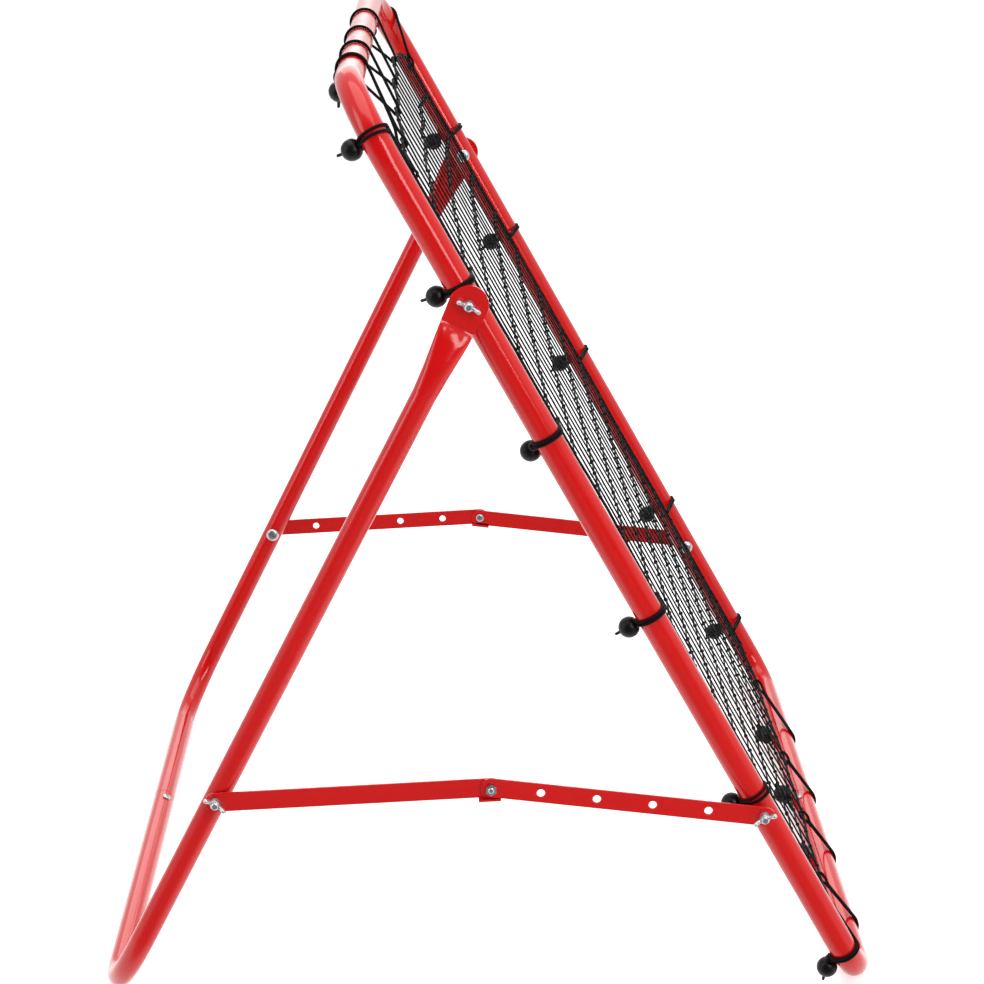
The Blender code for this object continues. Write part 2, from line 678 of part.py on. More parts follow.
def stay(side_name, side):
    """Both strips, the hinge bolt and its nut."""
    plain_end, hinge, holed_end = stay_pivots(side)
    reach = (hinge - plain_end).length
    hole_d = BOLT_D + 2 * THREAD_GAP
    hinge_hole_d = HINGE_BOLT_D + 2 * THREAD_GAP
    laid = side_matrix(side, plain_end.y, plain_end.z) @ Matrix.Rotation(lie(side, plain_end, hinge), 4, "X")
    ahead = lip_ahead(reach)
    plain = add_part(
        f"{side_name}_plain_strip",
        strip_mesh(reach, ((0, 0, hole_d), (reach, 0, hinge_hole_d)), PLAIN_IN, ahead * 0.75),
        RED_PAINT,
        None,
        laid,
    )
    under = -STRIP_WIDTH / 2 - LIP_BELOW
    low = under - STOP_LIP_THICK
    lip_start = (PLAIN_IN + STOP_LIP_INSET / 3, reach - STOP_LIP_BEHIND, low)
    lip = box(lip_start, (HOLED_OUT + 0.0006, reach + ahead, under))
    combine(plain, add_cutter(f"{side_name}_stop_lip", lip, None, laid), "UNION")
    middle = math.sqrt(reach**2 - HINGE_DROP**2)
    holes = [(0, -HINGE_DROP, hinge_hole_d)]
    holes += [(middle * (1 - ADJUST_STEP_SHARE * i), 0, hole_d) for i in range(ADJUST_HOLES)]
    holed_slope = lie(side, hinge, holed_end) - math.asin(HINGE_DROP / reach)
    drop = Matrix.Translation((0, 0, HINGE_DROP))
    mesh = strip_mesh(middle, holes, HOLED_IN)
    mesh.transform(drop)
    add_part(
        f"{side_name}_holed_strip",
        mesh,
        RED_PAINT,
        None,
        side_matrix(side, hinge.y, hinge.z) @ Matrix.Rotation(holed_slope, 4, "X"),
    )
    nut_start = HOLED_OUT + GAP
    tip = nut_start + HINGE_NUT_H + 0.0008
    sizes = (HINGE_BOLT_D, HINGE_HEAD_D, HINGE_HEAD_H)
    bolt(f"{side_name}_hinge_bolt", side, hinge.y, hinge.z, PLAIN_IN - GAP, tip, *sizes)
    nut_r = across_flats(HINGE_NUT_ACROSS)
    hole_r = HINGE_BOLT_D / 2 + THREAD_GAP
    ring_piece(f"{side_name}_hinge_nut", side, hinge.y, hinge.z, nut_start, HINGE_NUT_H, nut_r, hole_r, 6)
    return plain_end, hinge, holed_end


def lip_ahead(reach):
    """How far the stop lip runs past the hinge: to where the holed strip's lower edge meets it."""
    bend = 2 * STAY_RISE + math.asin(HINGE_DROP / reach)
    edge = STRIP_WIDTH / 2
    return (edge + LIP_BELOW - GAP - (edge - HINGE_DROP) / math.cos(bend)) / math.tan(bend)


# The net and the elastic loops, on the frame's axes: X across, Y to the back, Z up the frame
NET_LOW = NET_BOTTOM_INSET
NET_HIGH = FRAME_LENGTH - NET_TOP_INSET
NET_HALF = HALF_WIDTH - NET_SIDE_INSET
COLUMN = (2 * NET_HALF - NET_EDGE) / NET_COLUMNS
ROW = (NET_HIGH - NET_LOW - NET_EDGE) / NET_ROWS


def bar_edges(low, high, count, pitch):
    """Both edges of every cord across one direction of the net, the two edge cords being wider."""
    edges = [low, low + NET_EDGE]
    for i in range(1, count):
        middle = low + NET_EDGE / 2 + pitch * i
        edges += [middle - NET_CORD / 2, middle + NET_CORD / 2]
    return edges + [high - NET_EDGE, high]


def net():
    """A flat lattice of cords, made as a grid whose gaps are left out, then thickened."""
    xs = bar_edges(-NET_HALF, NET_HALF, NET_COLUMNS, COLUMN)
    zs = bar_edges(NET_LOW, NET_HIGH, NET_ROWS, ROW)
    work = bmesh.new()
    grid = [[work.verts.new((x, -NET_THICK / 2, z)) for x in xs] for z in zs]
    for i in range(len(zs) - 1):
        for j in range(len(xs) - 1):
            if i % 2 == 0 or j % 2 == 0:
                work.faces.new((grid[i][j], grid[i][j + 1], grid[i + 1][j + 1], grid[i + 1][j]))
    lifted = bmesh.ops.extrude_face_region(work, geom=list(work.faces))
    verts = [item for item in lifted["geom"] if isinstance(item, bmesh.types.BMVert)]
    bmesh.ops.translate(work, verts=verts, vec=(0, NET_THICK, 0))
    bmesh.ops.recalc_face_normals(work, faces=work.faces)
    mesh = bpy.data.meshes.new("net")
    work.to_mesh(mesh)
    work.free()
    return add_part("net", mesh, NET_BLACK, FRAME_AXES)


def column_middle(x):
    """The middle of the net column nearest to x."""
    start = -NET_HALF + NET_EDGE / 2
    index = min(max(math.floor((x - start) / COLUMN), 0), NET_COLUMNS - 1)
    return start + COLUMN * (index + 0.5)


def row_middle(z):
    """The middle of the net row nearest to z."""
    start = NET_LOW + NET_EDGE / 2
    index = min(max(math.floor((z - start) / ROW), 0), NET_ROWS - 1)
    return start + ROW * (index + 0.5)


FRONT = Vector((0, -1, 0))


def wrap_point(centre, out, along, turn, offset):
    """A point on the way round the tube, turned from its front towards its outer side."""
    return centre + (FRONT * math.cos(turn) + out * math.sin(turn)) * WRAP_POINT_R + along * offset


def tangent_turn(centre, out, eye, way):
    """Where a straight strand from a point meets the round of the wrap: way 1 in front, -1 behind."""
    off = eye - centre
    flat = Vector((off.dot(FRONT), off.dot(out)))
    bearing = math.atan2(flat.y, flat.x)
    return bearing + way * math.acos(min(WRAP_POINT_R / flat.length, 1.0))


def between(start, end, steps):
    """Turns from start to end in equal steps, with both ends."""
    return [start + (end - start) * i / steps for i in range(steps + 1)]


def strand_wrap(centre, out, along, eye, offset, end_turn, ground_turn=None):
    """The points of one strand from the net's edge round the front and outer side to the ball.

    With a ground_turn, one straight step of the wrap lies level there, so it can rest on the ground.
    """
    start = tangent_turn(centre, out, eye, 1)
    if ground_turn is None:
        turns = between(start, end_turn, WRAP_STEPS)
    else:
        turns = between(start, ground_turn - HALF_WRAP_STEP, 3)
        turns += between(ground_turn + HALF_WRAP_STEP, end_turn, 2)
    return [wrap_point(centre, out, along, turn, offset) for turn in turns]


def hook_points(edge, inward):
    """Round the net's edge cord: in front of it, through the mesh, and out behind it."""
    front = FRONT * (NET_THICK / 2 + GAP + ELASTIC_R)
    inner = edge + inward * (NET_EDGE / 2 + GAP + ELASTIC_R)
    outer = edge - inward * (NET_EDGE / 2 + GAP)
    return [outer + front, inner + front, inner - front, outer - front]


def elastic(name, centre, out, edge, inward, both_in_front, ground_turn=None):
    """One elastic loop with its hook ball: one solid, because it is one moulded and knotted piece."""
    along = FRONT.cross(out)
    ball_back = math.sqrt((FRAME_R + GAP + BALL_D / 2) ** 2 - BALL_INBOARD**2)
    ball_place = centre - FRONT * ball_back - out * BALL_INBOARD
    hook = hook_points(edge, inward)
    end_turn = math.radians(188)
    first = strand_wrap(centre, out, along, hook[0], STRAND_STEP / 2, end_turn, ground_turn)
    if both_in_front:
        second = strand_wrap(centre, out, along, hook[3], -STRAND_STEP / 2, end_turn, ground_turn)
    else:
        back_turn = tangent_turn(centre, out, hook[3], -1)
        second = [wrap_point(centre, out, along, back_turn, -STRAND_STEP / 2)]
        second.append(second[0] + (ball_place - second[0]) * 0.5)
    points = first[::-1] + hook + second
    mesh = tube(points, [ELASTIC_R] * len(points), 6)
    made = add_part(name, mesh, ELASTIC_BLACK, FRAME_AXES)
    work = bmesh.new()
    bmesh.ops.create_icosphere(work, subdivisions=2, radius=BALL_D / 2)
    ball = bpy.data.meshes.new("ball")
    work.to_mesh(ball)
    work.free()
    tool = add_cutter(f"{name}_ball", ball, FRAME_AXES, Matrix.Translation(ball_place))
    combine(made, tool, "UNION")
    return made


def side_centre(side, from_top):
    """The frame's side axis at a distance from the top, on its bends too, and which way is outwards."""
    x, out = side * HALF_WIDTH, Vector((side, 0, 0))
    from_bottom = FRAME_LENGTH - from_top
    near_end = min(from_top, from_bottom)
    if near_end < FRAME_BEND_R:
        turn = math.asin((FRAME_BEND_R - near_end) / FRAME_BEND_R)
        up = 1 if from_top < from_bottom else -1
        x -= side * FRAME_BEND_R * (1 - math.cos(turn))
        out = Vector((side * math.cos(turn), 0, up * math.sin(turn)))
    return Vector((x, 0, from_bottom)), out


def elastics():
    """All the loops: six each side, four at the top and four at the bottom."""
    for side_name, places in (("near", NEAR_LOOPS), ("far", FAR_LOOPS)):
        side = SIDES[side_name]
        for i, share in enumerate(places, 1):
            from_top = share * FRAME_LENGTH
            centre, out = side_centre(side, from_top)
            edge = Vector((side * (NET_HALF - NET_EDGE / 2), 0, row_middle(FRAME_LENGTH - from_top)))
            elastic(f"{side_name}_loop_{i}", centre, out, edge, Vector((-side, 0, 0)), True)
    for i, share in enumerate(TOP_LOOPS, 1):
        x = share * FRAME_WIDTH - HALF_WIDTH
        edge = Vector((column_middle(x), 0, NET_HIGH - NET_EDGE / 2))
        centre = Vector((x, 0, FRAME_LENGTH))
        elastic(f"top_loop_{i}", centre, Vector((0, 0, 1)), edge, Vector((0, 0, -1)), False)
    for i, share in enumerate(BOTTOM_LOOPS, 1):
        x = share * FRAME_WIDTH - HALF_WIDTH
        edge = Vector((column_middle(x), 0, NET_LOW + NET_EDGE / 2))
        centre = Vector((x, 0, 0))
        down = math.pi / 2 + FRAME_LEAN
        made = elastic(f"bottom_loop_{i}", centre, Vector((0, 0, -1)), edge, Vector((0, 0, 1)), True, down)
        ground = add_cutter(f"ground_{i}", box((x - 0.05, -0.4, -0.02), (x + 0.05, 0.0, 0.0)))
        ground.location.y = FRAME_AXIS_Y + 0.2
        combine(made, ground, "DIFFERENCE")


def fasteners():
    """The pivot bolts, the stay bolts, and what is screwed on them."""
    hole_r = BOLT_D / 2 + THREAD_GAP
    jam_r = across_flats(JAM_NUT_ACROSS)
    washer_r = WASHER_D / 2
    for side_name, side in SIDES.items():
        base = EAR_OUT + GAP
        tip = base + WING_HUB_H + BOLT_PAST_NUT
        bolt(f"{side_name}_pivot_bolt", side, PIVOT_Y, PIVOT_Z, -FRAME_R - GAP, tip)
        wing_nut(f"{side_name}_pivot_wing_nut", side, PIVOT_Y, PIVOT_Z, base, math.radians(29 * side))
    # Near side: the plain strip is bolted to the leg, and the holed strip to the frame
    plain_end, hinge, holed_end = stay("near", NEAR)
    head_on_leg = LEG_AXIS_AT_STAY - LEG_R - GAP - LEG_SPLAY * BOLT_HEAD_D / 2
    tip = PLAIN_OUT + GAP + WING_HUB_H + BOLT_PAST_NUT
    bolt("near_leg_stay_bolt", NEAR, plain_end.y, plain_end.z, head_on_leg, tip)
    start = LEG_FACE_AT_STAY + GAP + LEG_SPLAY * WASHER_D / 2
    thick = PLAIN_IN - GAP - start
    ring_piece("near_leg_stay_washer", NEAR, plain_end.y, plain_end.z, start, thick, washer_r, hole_r, ROUND)
    wing_nut("near_leg_stay_wing_nut", NEAR, plain_end.y, plain_end.z, PLAIN_OUT + GAP, math.radians(-34))
    open_end(NEAR, "near_frame_stay", holed_end, -FRAME_R - GAP, FRAME_R, jam_r, washer_r, hole_r, 23)
    # Far side: the same stay turned half round, so the plain strip is bolted to the frame
    plain_end, hinge, holed_end = stay("far", FAR)
    bolt("far_frame_stay_bolt", FAR, plain_end.y, plain_end.z, -FRAME_R - GAP, tip)
    thick = PLAIN_IN - GAP - FRAME_R - GAP
    start = FRAME_R + GAP
    ring_piece("far_frame_stay_jam_nut", FAR, plain_end.y, plain_end.z, start, thick, jam_r, hole_r, 6)
    wing_nut("far_frame_stay_wing_nut", FAR, plain_end.y, plain_end.z, PLAIN_OUT + GAP, math.radians(20))
    open_end(FAR, "far_leg_stay", holed_end, head_on_leg, LEG_FACE_AT_STAY, jam_r, washer_r, hole_r, -15)


def open_end(side, name, place, head_face, face, jam_r, washer_r, hole_r, turn):
    """The bolt of the holed strip. It ends at the strip, and its thread goes on in the strip's own end."""
    tip = HOLED_IN - GAP
    bolt(f"{name}_bolt", side, place.y, place.z, head_face, tip)
    lean = LEG_SPLAY * JAM_NUT_ACROSS / 2 if face == LEG_FACE_AT_STAY else 0.0
    start = face + GAP + lean
    room = tip - start
    nut_thick = min(0.0029, room)
    ring_piece(f"{name}_jam_nut", side, place.y, place.z, start, nut_thick, jam_r, hole_r, 6)
    if room - nut_thick > 0.0012:
        begin = start + nut_thick + GAP
        ring_piece(f"{name}_washer", side, place.y, place.z, begin, tip - begin, washer_r, hole_r, ROUND)
    end = HOLED_OUT + GAP + WING_HUB_H + BOLT_PAST_NUT
    thread = cylinder(BOLT_D / 2, HOLED_IN, end, ROUND)
    add_part(f"{name}_bolt_end", thread, ZINC, None, side_matrix(side, place.y, place.z))
    wing_nut(f"{name}_wing_nut", side, place.y, place.z, HOLED_OUT + GAP, math.radians(turn))


def main():
    for side_name, side in SIDES.items():
        frame_half(f"{side_name}_frame_half", side)
        leg_half(f"{side_name}_leg_half", side)
    screw_x = FRAME_JOINT_X - JOINT_SCREW_BACK
    joint_screw("frame_bottom_screw", FRAME_AXES, (screw_x, 0, 0), 1, FRAME_R)
    joint_screw("frame_top_screw", FRAME_AXES, (screw_x, 0, FRAME_LENGTH), -1, FRAME_R)
    joint_screw("leg_screw", LEG_AXES, (LEG_JOINT_X - JOINT_SCREW_BACK, 0, -LEG_LENGTH), 1, LEG_R)
    fasteners()
    net()
    elastics()
    plain_end, hinge, holed_end = stay_pivots(NEAR)
    print("pivot", 0, round(PIVOT_Y, 6), round(PIVOT_Z, 6), "lean of the leg", math.degrees(LEG_LEAN))
    print("near stay pivots", plain_end, hinge, holed_end)
    print("far stay pivots", *stay_pivots(FAR))


main()
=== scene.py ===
# %% [markdown]
# # A folding football rebounder, dressed for its portrait
#
# A rebounder is a net laced into a leaning tube frame, which throws a ball back to the player.
# A U of thinner tube stands behind the frame, and two folding stays keep the two apart.
# The solids came from CAD with every size settled. This file gives each of them its real surface:
# smooth bends, pressed tube ends, punched strips, cast wing nuts, a knotted net and elastic cord.

import json
import math

import bmesh
import bpy
from mathutils import Matrix, Vector


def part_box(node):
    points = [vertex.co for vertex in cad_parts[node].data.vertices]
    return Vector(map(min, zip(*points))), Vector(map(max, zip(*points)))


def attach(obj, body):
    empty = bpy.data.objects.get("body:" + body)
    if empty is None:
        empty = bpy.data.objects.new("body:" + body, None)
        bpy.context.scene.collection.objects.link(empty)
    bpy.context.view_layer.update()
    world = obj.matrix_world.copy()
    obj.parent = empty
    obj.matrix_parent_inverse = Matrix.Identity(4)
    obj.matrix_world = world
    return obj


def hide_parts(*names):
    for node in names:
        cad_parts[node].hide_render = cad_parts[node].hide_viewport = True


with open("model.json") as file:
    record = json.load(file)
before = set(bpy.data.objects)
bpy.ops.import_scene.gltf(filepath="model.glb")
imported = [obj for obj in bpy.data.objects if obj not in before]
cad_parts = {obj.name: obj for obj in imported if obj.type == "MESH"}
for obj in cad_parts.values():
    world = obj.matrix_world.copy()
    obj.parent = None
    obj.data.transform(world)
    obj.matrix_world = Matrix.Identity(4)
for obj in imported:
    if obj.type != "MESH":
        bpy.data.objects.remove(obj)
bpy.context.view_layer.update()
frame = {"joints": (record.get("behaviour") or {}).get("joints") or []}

# %% [markdown]
# ## Rulers
#
# The frame leans back, and the leg leans forward to meet it at the pivot bolts. It is easiest to say
# where things are along the leaning tubes, so two helpers turn such a place into X, Y and Z.

# %% The leaning rulers of the frame and the leg
MM = 0.001
PIVOT = Vector(next(joint["pos_m"] for joint in frame["joints"] if joint["name"] == "leg_fold"))
FRAME_LEAN = math.radians(27.97)
HALF_WIDTH = 0.3525  # from the middle to the axis of a side tube
FRAME_LENGTH = 0.8407  # from the bottom tube's axis to the top tube's
PIVOT_UP = 0.656  # from the bottom tube's axis to the pivot
FRAME_R, LEG_R = 11.25 * MM, 9.65 * MM  # of the two tubes, with their paint
LEG_LENGTH = 0.662
LEG_AXIS_UP = LEG_R * math.cos(math.pi / 12)  # the CAD tube stands on one of its 12 flats
LEG_LEAN = math.acos((PIVOT.z - LEG_AXIS_UP) / LEG_LENGTH)


def on_frame(x, up, front=0.0):
    """A place on the net frame: across, up from the bottom tube's axis, in front of the tube axes."""
    along = up - PIVOT_UP
    y = PIVOT.y + along * math.sin(FRAME_LEAN) - front * math.cos(FRAME_LEAN)
    return Vector((x, y, PIVOT.z + along * math.cos(FRAME_LEAN) + front * math.sin(FRAME_LEAN)))


def on_leg(x, down, back=0.0):
    """A place on the leg: across, down from the pivot, behind the leg's axis."""
    y = PIVOT.y + down * math.sin(LEG_LEAN) + back * math.cos(LEG_LEAN)
    return Vector((x, y, PIVOT.z - down * math.cos(LEG_LEAN) + back * math.sin(LEG_LEAN)))


NEAR, FAR = -1, 1
SIDES = (("near", NEAR), ("far", FAR))
print("foot of the frame:", on_frame(0, 0), "foot of the leg:", on_leg(0, LEG_LENGTH))

# %% [markdown]
# ## Camera
#
# The photograph was taken from beside the rebounder, a little above its middle, with a long lens.
# The camera's place and turn were worked out from the tubes' vanishing points. A camera matrix takes
# three columns, for what is right, up and behind, so a small roll needs no extra empty.

# %% Set the photographer's camera
PHOTO_PIXELS = 984
FOCAL_PIXELS = 2612.4
CAMERA_PLACE = Vector((-2.3054, PIVOT.y + 0.0039, PIVOT.z + 0.4265))
YAW, PITCH, ROLL = math.radians(0.5276), math.radians(-16.5015), math.radians(-1.5001)
ahead = Vector((math.cos(PITCH) * math.cos(YAW), -math.cos(PITCH) * math.sin(YAW), math.sin(PITCH)))
level = Vector((-math.sin(YAW), -math.cos(YAW), 0))
rise = level.cross(ahead)
right = level * math.cos(ROLL) + rise * math.sin(ROLL)
upward = rise * math.cos(ROLL) - level * math.sin(ROLL)
lens = bpy.data.cameras.new("photographer")
lens.sensor_width = 36
lens.lens = FOCAL_PIXELS / PHOTO_PIXELS * lens.sensor_width
lens.clip_end = 60
camera = bpy.data.objects.new("photographer", lens)
turn = Matrix((right, upward, -ahead)).transposed()
camera.matrix_world = Matrix.Translation(CAMERA_PLACE) @ turn.to_4x4()
bpy.context.scene.collection.objects.link(camera)
bpy.context.scene.camera = camera
print("camera looks along", ahead, "with a lens of", round(lens.lens, 1), "mm")

# %% [markdown]
# ## Node trees
#
# Studio and finishes are all made of shader nodes. Wiring them takes many lines, so a few helpers do
# it: one adds any node with its inputs, and the others are the sums that come back most often.

# %% Helpers for node trees
scene = bpy.context.scene
scene.view_settings.view_transform = "Standard"


def new_tree(owner, output="ShaderNodeOutputMaterial"):
    """Empties the nodes of a material or a world, and returns its tree with an output."""
    owner.use_nodes = True
    tree = owner.node_tree
    tree.nodes.clear()
    return tree, tree.nodes.new(output)


def add(tree, kind, inputs=None, out=0, **settings):
    """Adds a node with its settings, links or sets its inputs, and returns one of its outputs."""
    node = tree.nodes.new(kind)
    for key, value in settings.items():
        setattr(node, key, value)
    for key, value in (inputs or {}).items():
        if isinstance(value, bpy.types.NodeSocket):
            tree.links.new(value, node.inputs[key])
        else:
            node.inputs[key].default_value = value
    return node.outputs[out]


def maths(tree, operation, *values):
    """A sum of numbers and sockets."""
    return add(tree, "ShaderNodeMath", dict(enumerate(values)), operation=operation)


def between(tree, factor, low, high, from_low=0.0, from_high=1.0, **settings):
    """Maps a factor to a range."""
    ends = {"Value": factor, "From Min": from_low, "From Max": from_high, "To Min": low, "To Max": high}
    return add(tree, "ShaderNodeMapRange", ends, "Result", **settings)


def mixed(tree, factor, first, second):
    """Mixes two colours."""
    ends = {"Factor": factor, "A": (*first, 1), "B": (*second, 1)}
    return add(tree, "ShaderNodeMix", ends, "Result", data_type="RGBA")


def rays(tree):
    """What kind of ray asks, as outputs by name."""
    return tree.nodes.new("ShaderNodeLightPath").outputs


# %% [markdown]
# ## Studio
#
# The background is plain white. The world is white to the camera and in reflections, and softer as a
# light, so the red paint keeps its depth. The room behind the photographer is dark. The camera never
# sees it, but gloss paint and zinc mirror it, which is why faces turned to the lens look deep and
# faces that graze it look washed. The floor is pale, glows a little, and keeps the object's shadow.

# %% Light the studio
WHITE = (1, 1, 1, 1)
ROOM_LIGHT = 0.66
FLOOR_GLOW = 0.55


def seen_directly(tree):
    """1 for rays from the camera and for mirror and glass rays, 0 for the light itself."""
    ray = rays(tree)
    shown = maths(tree, "MAXIMUM", ray["Is Camera Ray"], ray["Is Glossy Ray"])
    return maths(tree, "MAXIMUM", shown, ray["Is Transmission Ray"])


def mirrored_room(tree, direction, low):
    """1 where a mirrored ray looks away from the photographer, and low where it looks at them."""
    backwards = Vector((-ahead.x, -ahead.y, 0)).normalized()
    both = {0: direction, 1: backwards}
    towards = add(tree, "ShaderNodeVectorMath", both, "Value", operation="DOT_PRODUCT")
    return between(tree, towards, 1.0, low, 0.20, 0.85, interpolation_type="SMOOTHSTEP")


scene.world = bpy.data.worlds.new("white_studio")
sky, sky_out = new_tree(scene.world, "ShaderNodeOutputWorld")
room = mirrored_room(sky, add(sky, "ShaderNodeTexCoord", out="Generated"), 0.10)
ray = rays(sky)
straight = maths(sky, "MAXIMUM", ray["Is Camera Ray"], ray["Is Transmission Ray"])
as_light = maths(sky, "MULTIPLY", room, ROOM_LIGHT)
strength = between(sky, seen_directly(sky), as_light, maths(sky, "MAXIMUM", straight, room))
sky_light = add(sky, "ShaderNodeBackground", {"Color": WHITE, "Strength": strength})
sky.links.new(sky_light, sky_out.inputs["Surface"])

SOFTBOXES = (  # name, place, height it points at, size, watts
    ("overhead", (-0.2, 0.0, 3.2), 0.3, (2.6, 2.6), 42),
    ("beside_the_camera", (-2.6, -1.7, 1.9), 0.4, (1.0, 2.2), 52),
    ("behind_left", (-1.2, 2.8, 1.6), 0.4, (1.2, 1.6), 16),
    ("far_side", (2.8, 0.1, 2.0), 0.4, (2.6, 2.0), 24),
)
for name, place, aim_height, size, watts in SOFTBOXES:
    data = bpy.data.lights.new(name, "AREA")
    data.shape = "RECTANGLE"
    data.size, data.size_y = size
    data.energy = watts
    lamp = bpy.data.objects.new(name, data)
    lamp.location = place
    lamp.rotation_euler = (Vector((0, 0, aim_height)) - Vector(place)).to_track_quat("-Z", "Y").to_euler()
    scene.collection.objects.link(lamp)
print("softboxes:", ", ".join(box[0] for box in SOFTBOXES))

# %% [markdown]
# The floor is the same pale paper as the background. It mirrors darker towards the photographer, as
# the room does, and a diffuse shader under a weak glow keeps the shadow where the tubes stand.

# %% Lay the floor
floor_mesh = bpy.data.meshes.new("studio_floor")
floor_mesh.from_pydata([(-9, -9, 0), (9, -9, 0), (9, 9, 0), (-9, 9, 0)], [], [(0, 1, 2, 3)])
floor = bpy.data.objects.new("studio_floor", floor_mesh)
scene.collection.objects.link(floor)
floor_paper = bpy.data.materials.new("pale_paper")
paper, paper_out = new_tree(floor_paper)
glow = {"Color": WHITE, "Strength": maths(paper, "MULTIPLY", seen_directly(paper), FLOOR_GLOW)}
pale = add(paper, "ShaderNodeBsdfDiffuse", {"Color": (0.86, 0.86, 0.86, 1)})
lit_paper = add(paper, "ShaderNodeAddShader", {0: pale, 1: add(paper, "ShaderNodeEmission", glow)})
incoming = add(paper, "ShaderNodeNewGeometry", out="Incoming")
outgoing = add(paper, "ShaderNodeVectorMath", {0: incoming, "Scale": -1}, "Vector", operation="SCALE")
shade = maths(paper, "SUBTRACT", 1.0, mirrored_room(paper, outgoing, 0.15))
in_mirror = maths(paper, "MULTIPLY", shade, rays(paper)["Is Glossy Ray"])
dark_paper = add(paper, "ShaderNodeBsdfDiffuse", {"Color": (0.02, 0.02, 0.02, 1)})
floor_look = add(paper, "ShaderNodeMixShader", {"Fac": in_mirror, 1: lit_paper, 2: dark_paper})
paper.links.new(floor_look, paper_out.inputs["Surface"])
floor.data.materials.append(floor_paper)
print("floor:", floor.name)

# %% [markdown]
# ## Finishes
#
# Five finishes cover the whole object: gloss red paint, bright zinc plate, knotted net cord, woven
# elastic and moulded plastic. Each is a small node tree. Most of them are one base with uneven colour,
# uneven gloss and a fine grain, and each of these three comes from noise that sits on the object.

# %% Helpers for finishes


def principled(name, colour, roughness, metallic=0.0, specular=0.5):
    """A material with a Principled shader, whose plain numbers are set on its own sockets."""
    made = bpy.data.materials.new(name)
    tree, out = new_tree(made)
    shader = tree.nodes.new("ShaderNodeBsdfPrincipled")
    shader.inputs["Base Color"].default_value = (*colour, 1)
    shader.inputs["Roughness"].default_value = roughness
    shader.inputs["Metallic"].default_value = metallic
    shader.inputs["Specular IOR Level"].default_value = specular
    tree.links.new(shader.outputs["BSDF"], out.inputs["Surface"])
    return made, tree, shader


def object_noise(tree, scale, detail):
    """Noise that sits still on the object, with so many waves to the metre."""
    place = add(tree, "ShaderNodeTexCoord", out="Object")
    return add(tree, "ShaderNodeTexNoise", {"Vector": place, "Scale": scale, "Detail": detail}, "Fac")


def bumped(tree, shader, height, distance, strength):
    """Feeds a height to the shader as a bump, with its real depth."""
    bump = {"Height": height, "Distance": distance, "Strength": strength}
    tree.links.new(add(tree, "ShaderNodeBump", bump, "Normal"), shader.inputs["Normal"])


def uneven(base, stain_and_reflection, gloss, grain):
    """Base is what principled takes. Each of the others is a noise's scale and detail, then its ends."""
    made, tree, shader = principled(*base)
    tree.links.new(mixed(tree, object_noise(tree, *stain_and_reflection[:2]), *stain_and_reflection[2:]), shader.inputs["Base Color"])
    tree.links.new(between(tree, object_noise(tree, *gloss[:2]), *gloss[2:]), shader.inputs["Roughness"])
    bumped(tree, shader, object_noise(tree, *grain[:2]), *grain[2:])
    return made


# %% [markdown]
# The paint is a stove enamel: deep red, glossy, with the faint ripple that sprayed paint dries with
# and slight clouding where it lies thinner.

# %% Gloss red paint
red_paint = uneven(
    ("gloss_red_paint", (0.62, 0.0035, 0.0035), 0.15, 0.0, 0.45),
    (9, 2, (0.59, 0.003, 0.003), (0.64, 0.0045, 0.0045)),
    (40, 2, 0.12, 0.18),
    (700, 2, 0.01 * MM, 0.3),
)
print("paint:", red_paint.name)

# %% [markdown]
# Bolts, nuts and screws are zinc plated. Zinc is a bright, slightly blue grey. The cast wing nuts are
# grainier than the rolled bolts, so they get a second material with a coarser bump. Their colour is
# mottled from dark to light grey: partly the plate's own uneven tone, partly painted reflections of light and
# dark.

# %% Zinc plate, rolled and cast
zinc = uneven(
    ("bright_zinc", (0.50, 0.53, 0.57), 0.30, 1.0),
    # dark to light grey: partly the plate's own tone, partly painted reflections of light and dark
    (320, 4, (0.34, 0.37, 0.41), (0.70, 0.73, 0.76)),
    (700, 3, 0.20, 0.46),
    (2400, 2, 0.03 * MM, 0.5),
)
cast_zinc = uneven(
    ("cast_zinc", (0.46, 0.49, 0.52), 0.36, 1.0),
    # dark to light grey: partly the casting's own tone, partly painted reflections of light and dark
    (260, 5, (0.30, 0.33, 0.36), (0.72, 0.74, 0.76)),
    (520, 4, 0.26, 0.55),
    (1500, 4, 0.12 * MM, 0.8),
)
print("zinc:", zinc.name, cast_zinc.name)

# %% [markdown]
# The cords are black. Net cord is braided from thin yarns and shows grey flecks where light catches
# them. Elastic has a tight woven sleeve, whose slanting yarns follow the cord, so its pattern reads
# the UV map: U is the length along the cord and V goes round it.

# %% Net cord, woven elastic and moulded plastic
YARN_WAVES = 1100  # to the metre of cord
YARNS_ROUND = 4

net_cord, tree, shader = principled("net_cord", (0.012, 0.012, 0.014), 0.72, specular=0.08)
flecks = object_noise(tree, 1300, 2)
lit = between(tree, flecks, 0, 1, 0.56, 0.66)
tree.links.new(mixed(tree, lit, (0.0015, 0.0015, 0.0015), (0.060, 0.062, 0.066)), shader.inputs["Base Color"])
bumped(tree, shader, flecks, 0.20 * MM, 0.8)

elastic_sleeve, tree, shader = principled("elastic_sleeve", (0.010, 0.010, 0.011), 0.60, specular=0.06)
uv = add(tree, "ShaderNodeUVMap", uv_map="along_cord")
along, round_it = (add(tree, "ShaderNodeSeparateXYZ", {"Vector": uv}, axis) for axis in "XY")
yarns = []
for slant in (1, -1):
    twist = maths(tree, "MULTIPLY", round_it, slant * YARNS_ROUND * math.tau)
    yarns.append(maths(tree, "SINE", maths(tree, "MULTIPLY_ADD", along, YARN_WAVES * math.tau, twist)))
weave = maths(tree, "MAXIMUM", *yarns)
sheen = between(tree, weave, 0, 1, -0.4, 1.0)
sheen = mixed(tree, sheen, (0.0008, 0.0008, 0.0008), (0.008, 0.008, 0.009))
tree.links.new(sheen, shader.inputs["Base Color"])
bumped(tree, shader, weave, 0.12 * MM, 0.7)

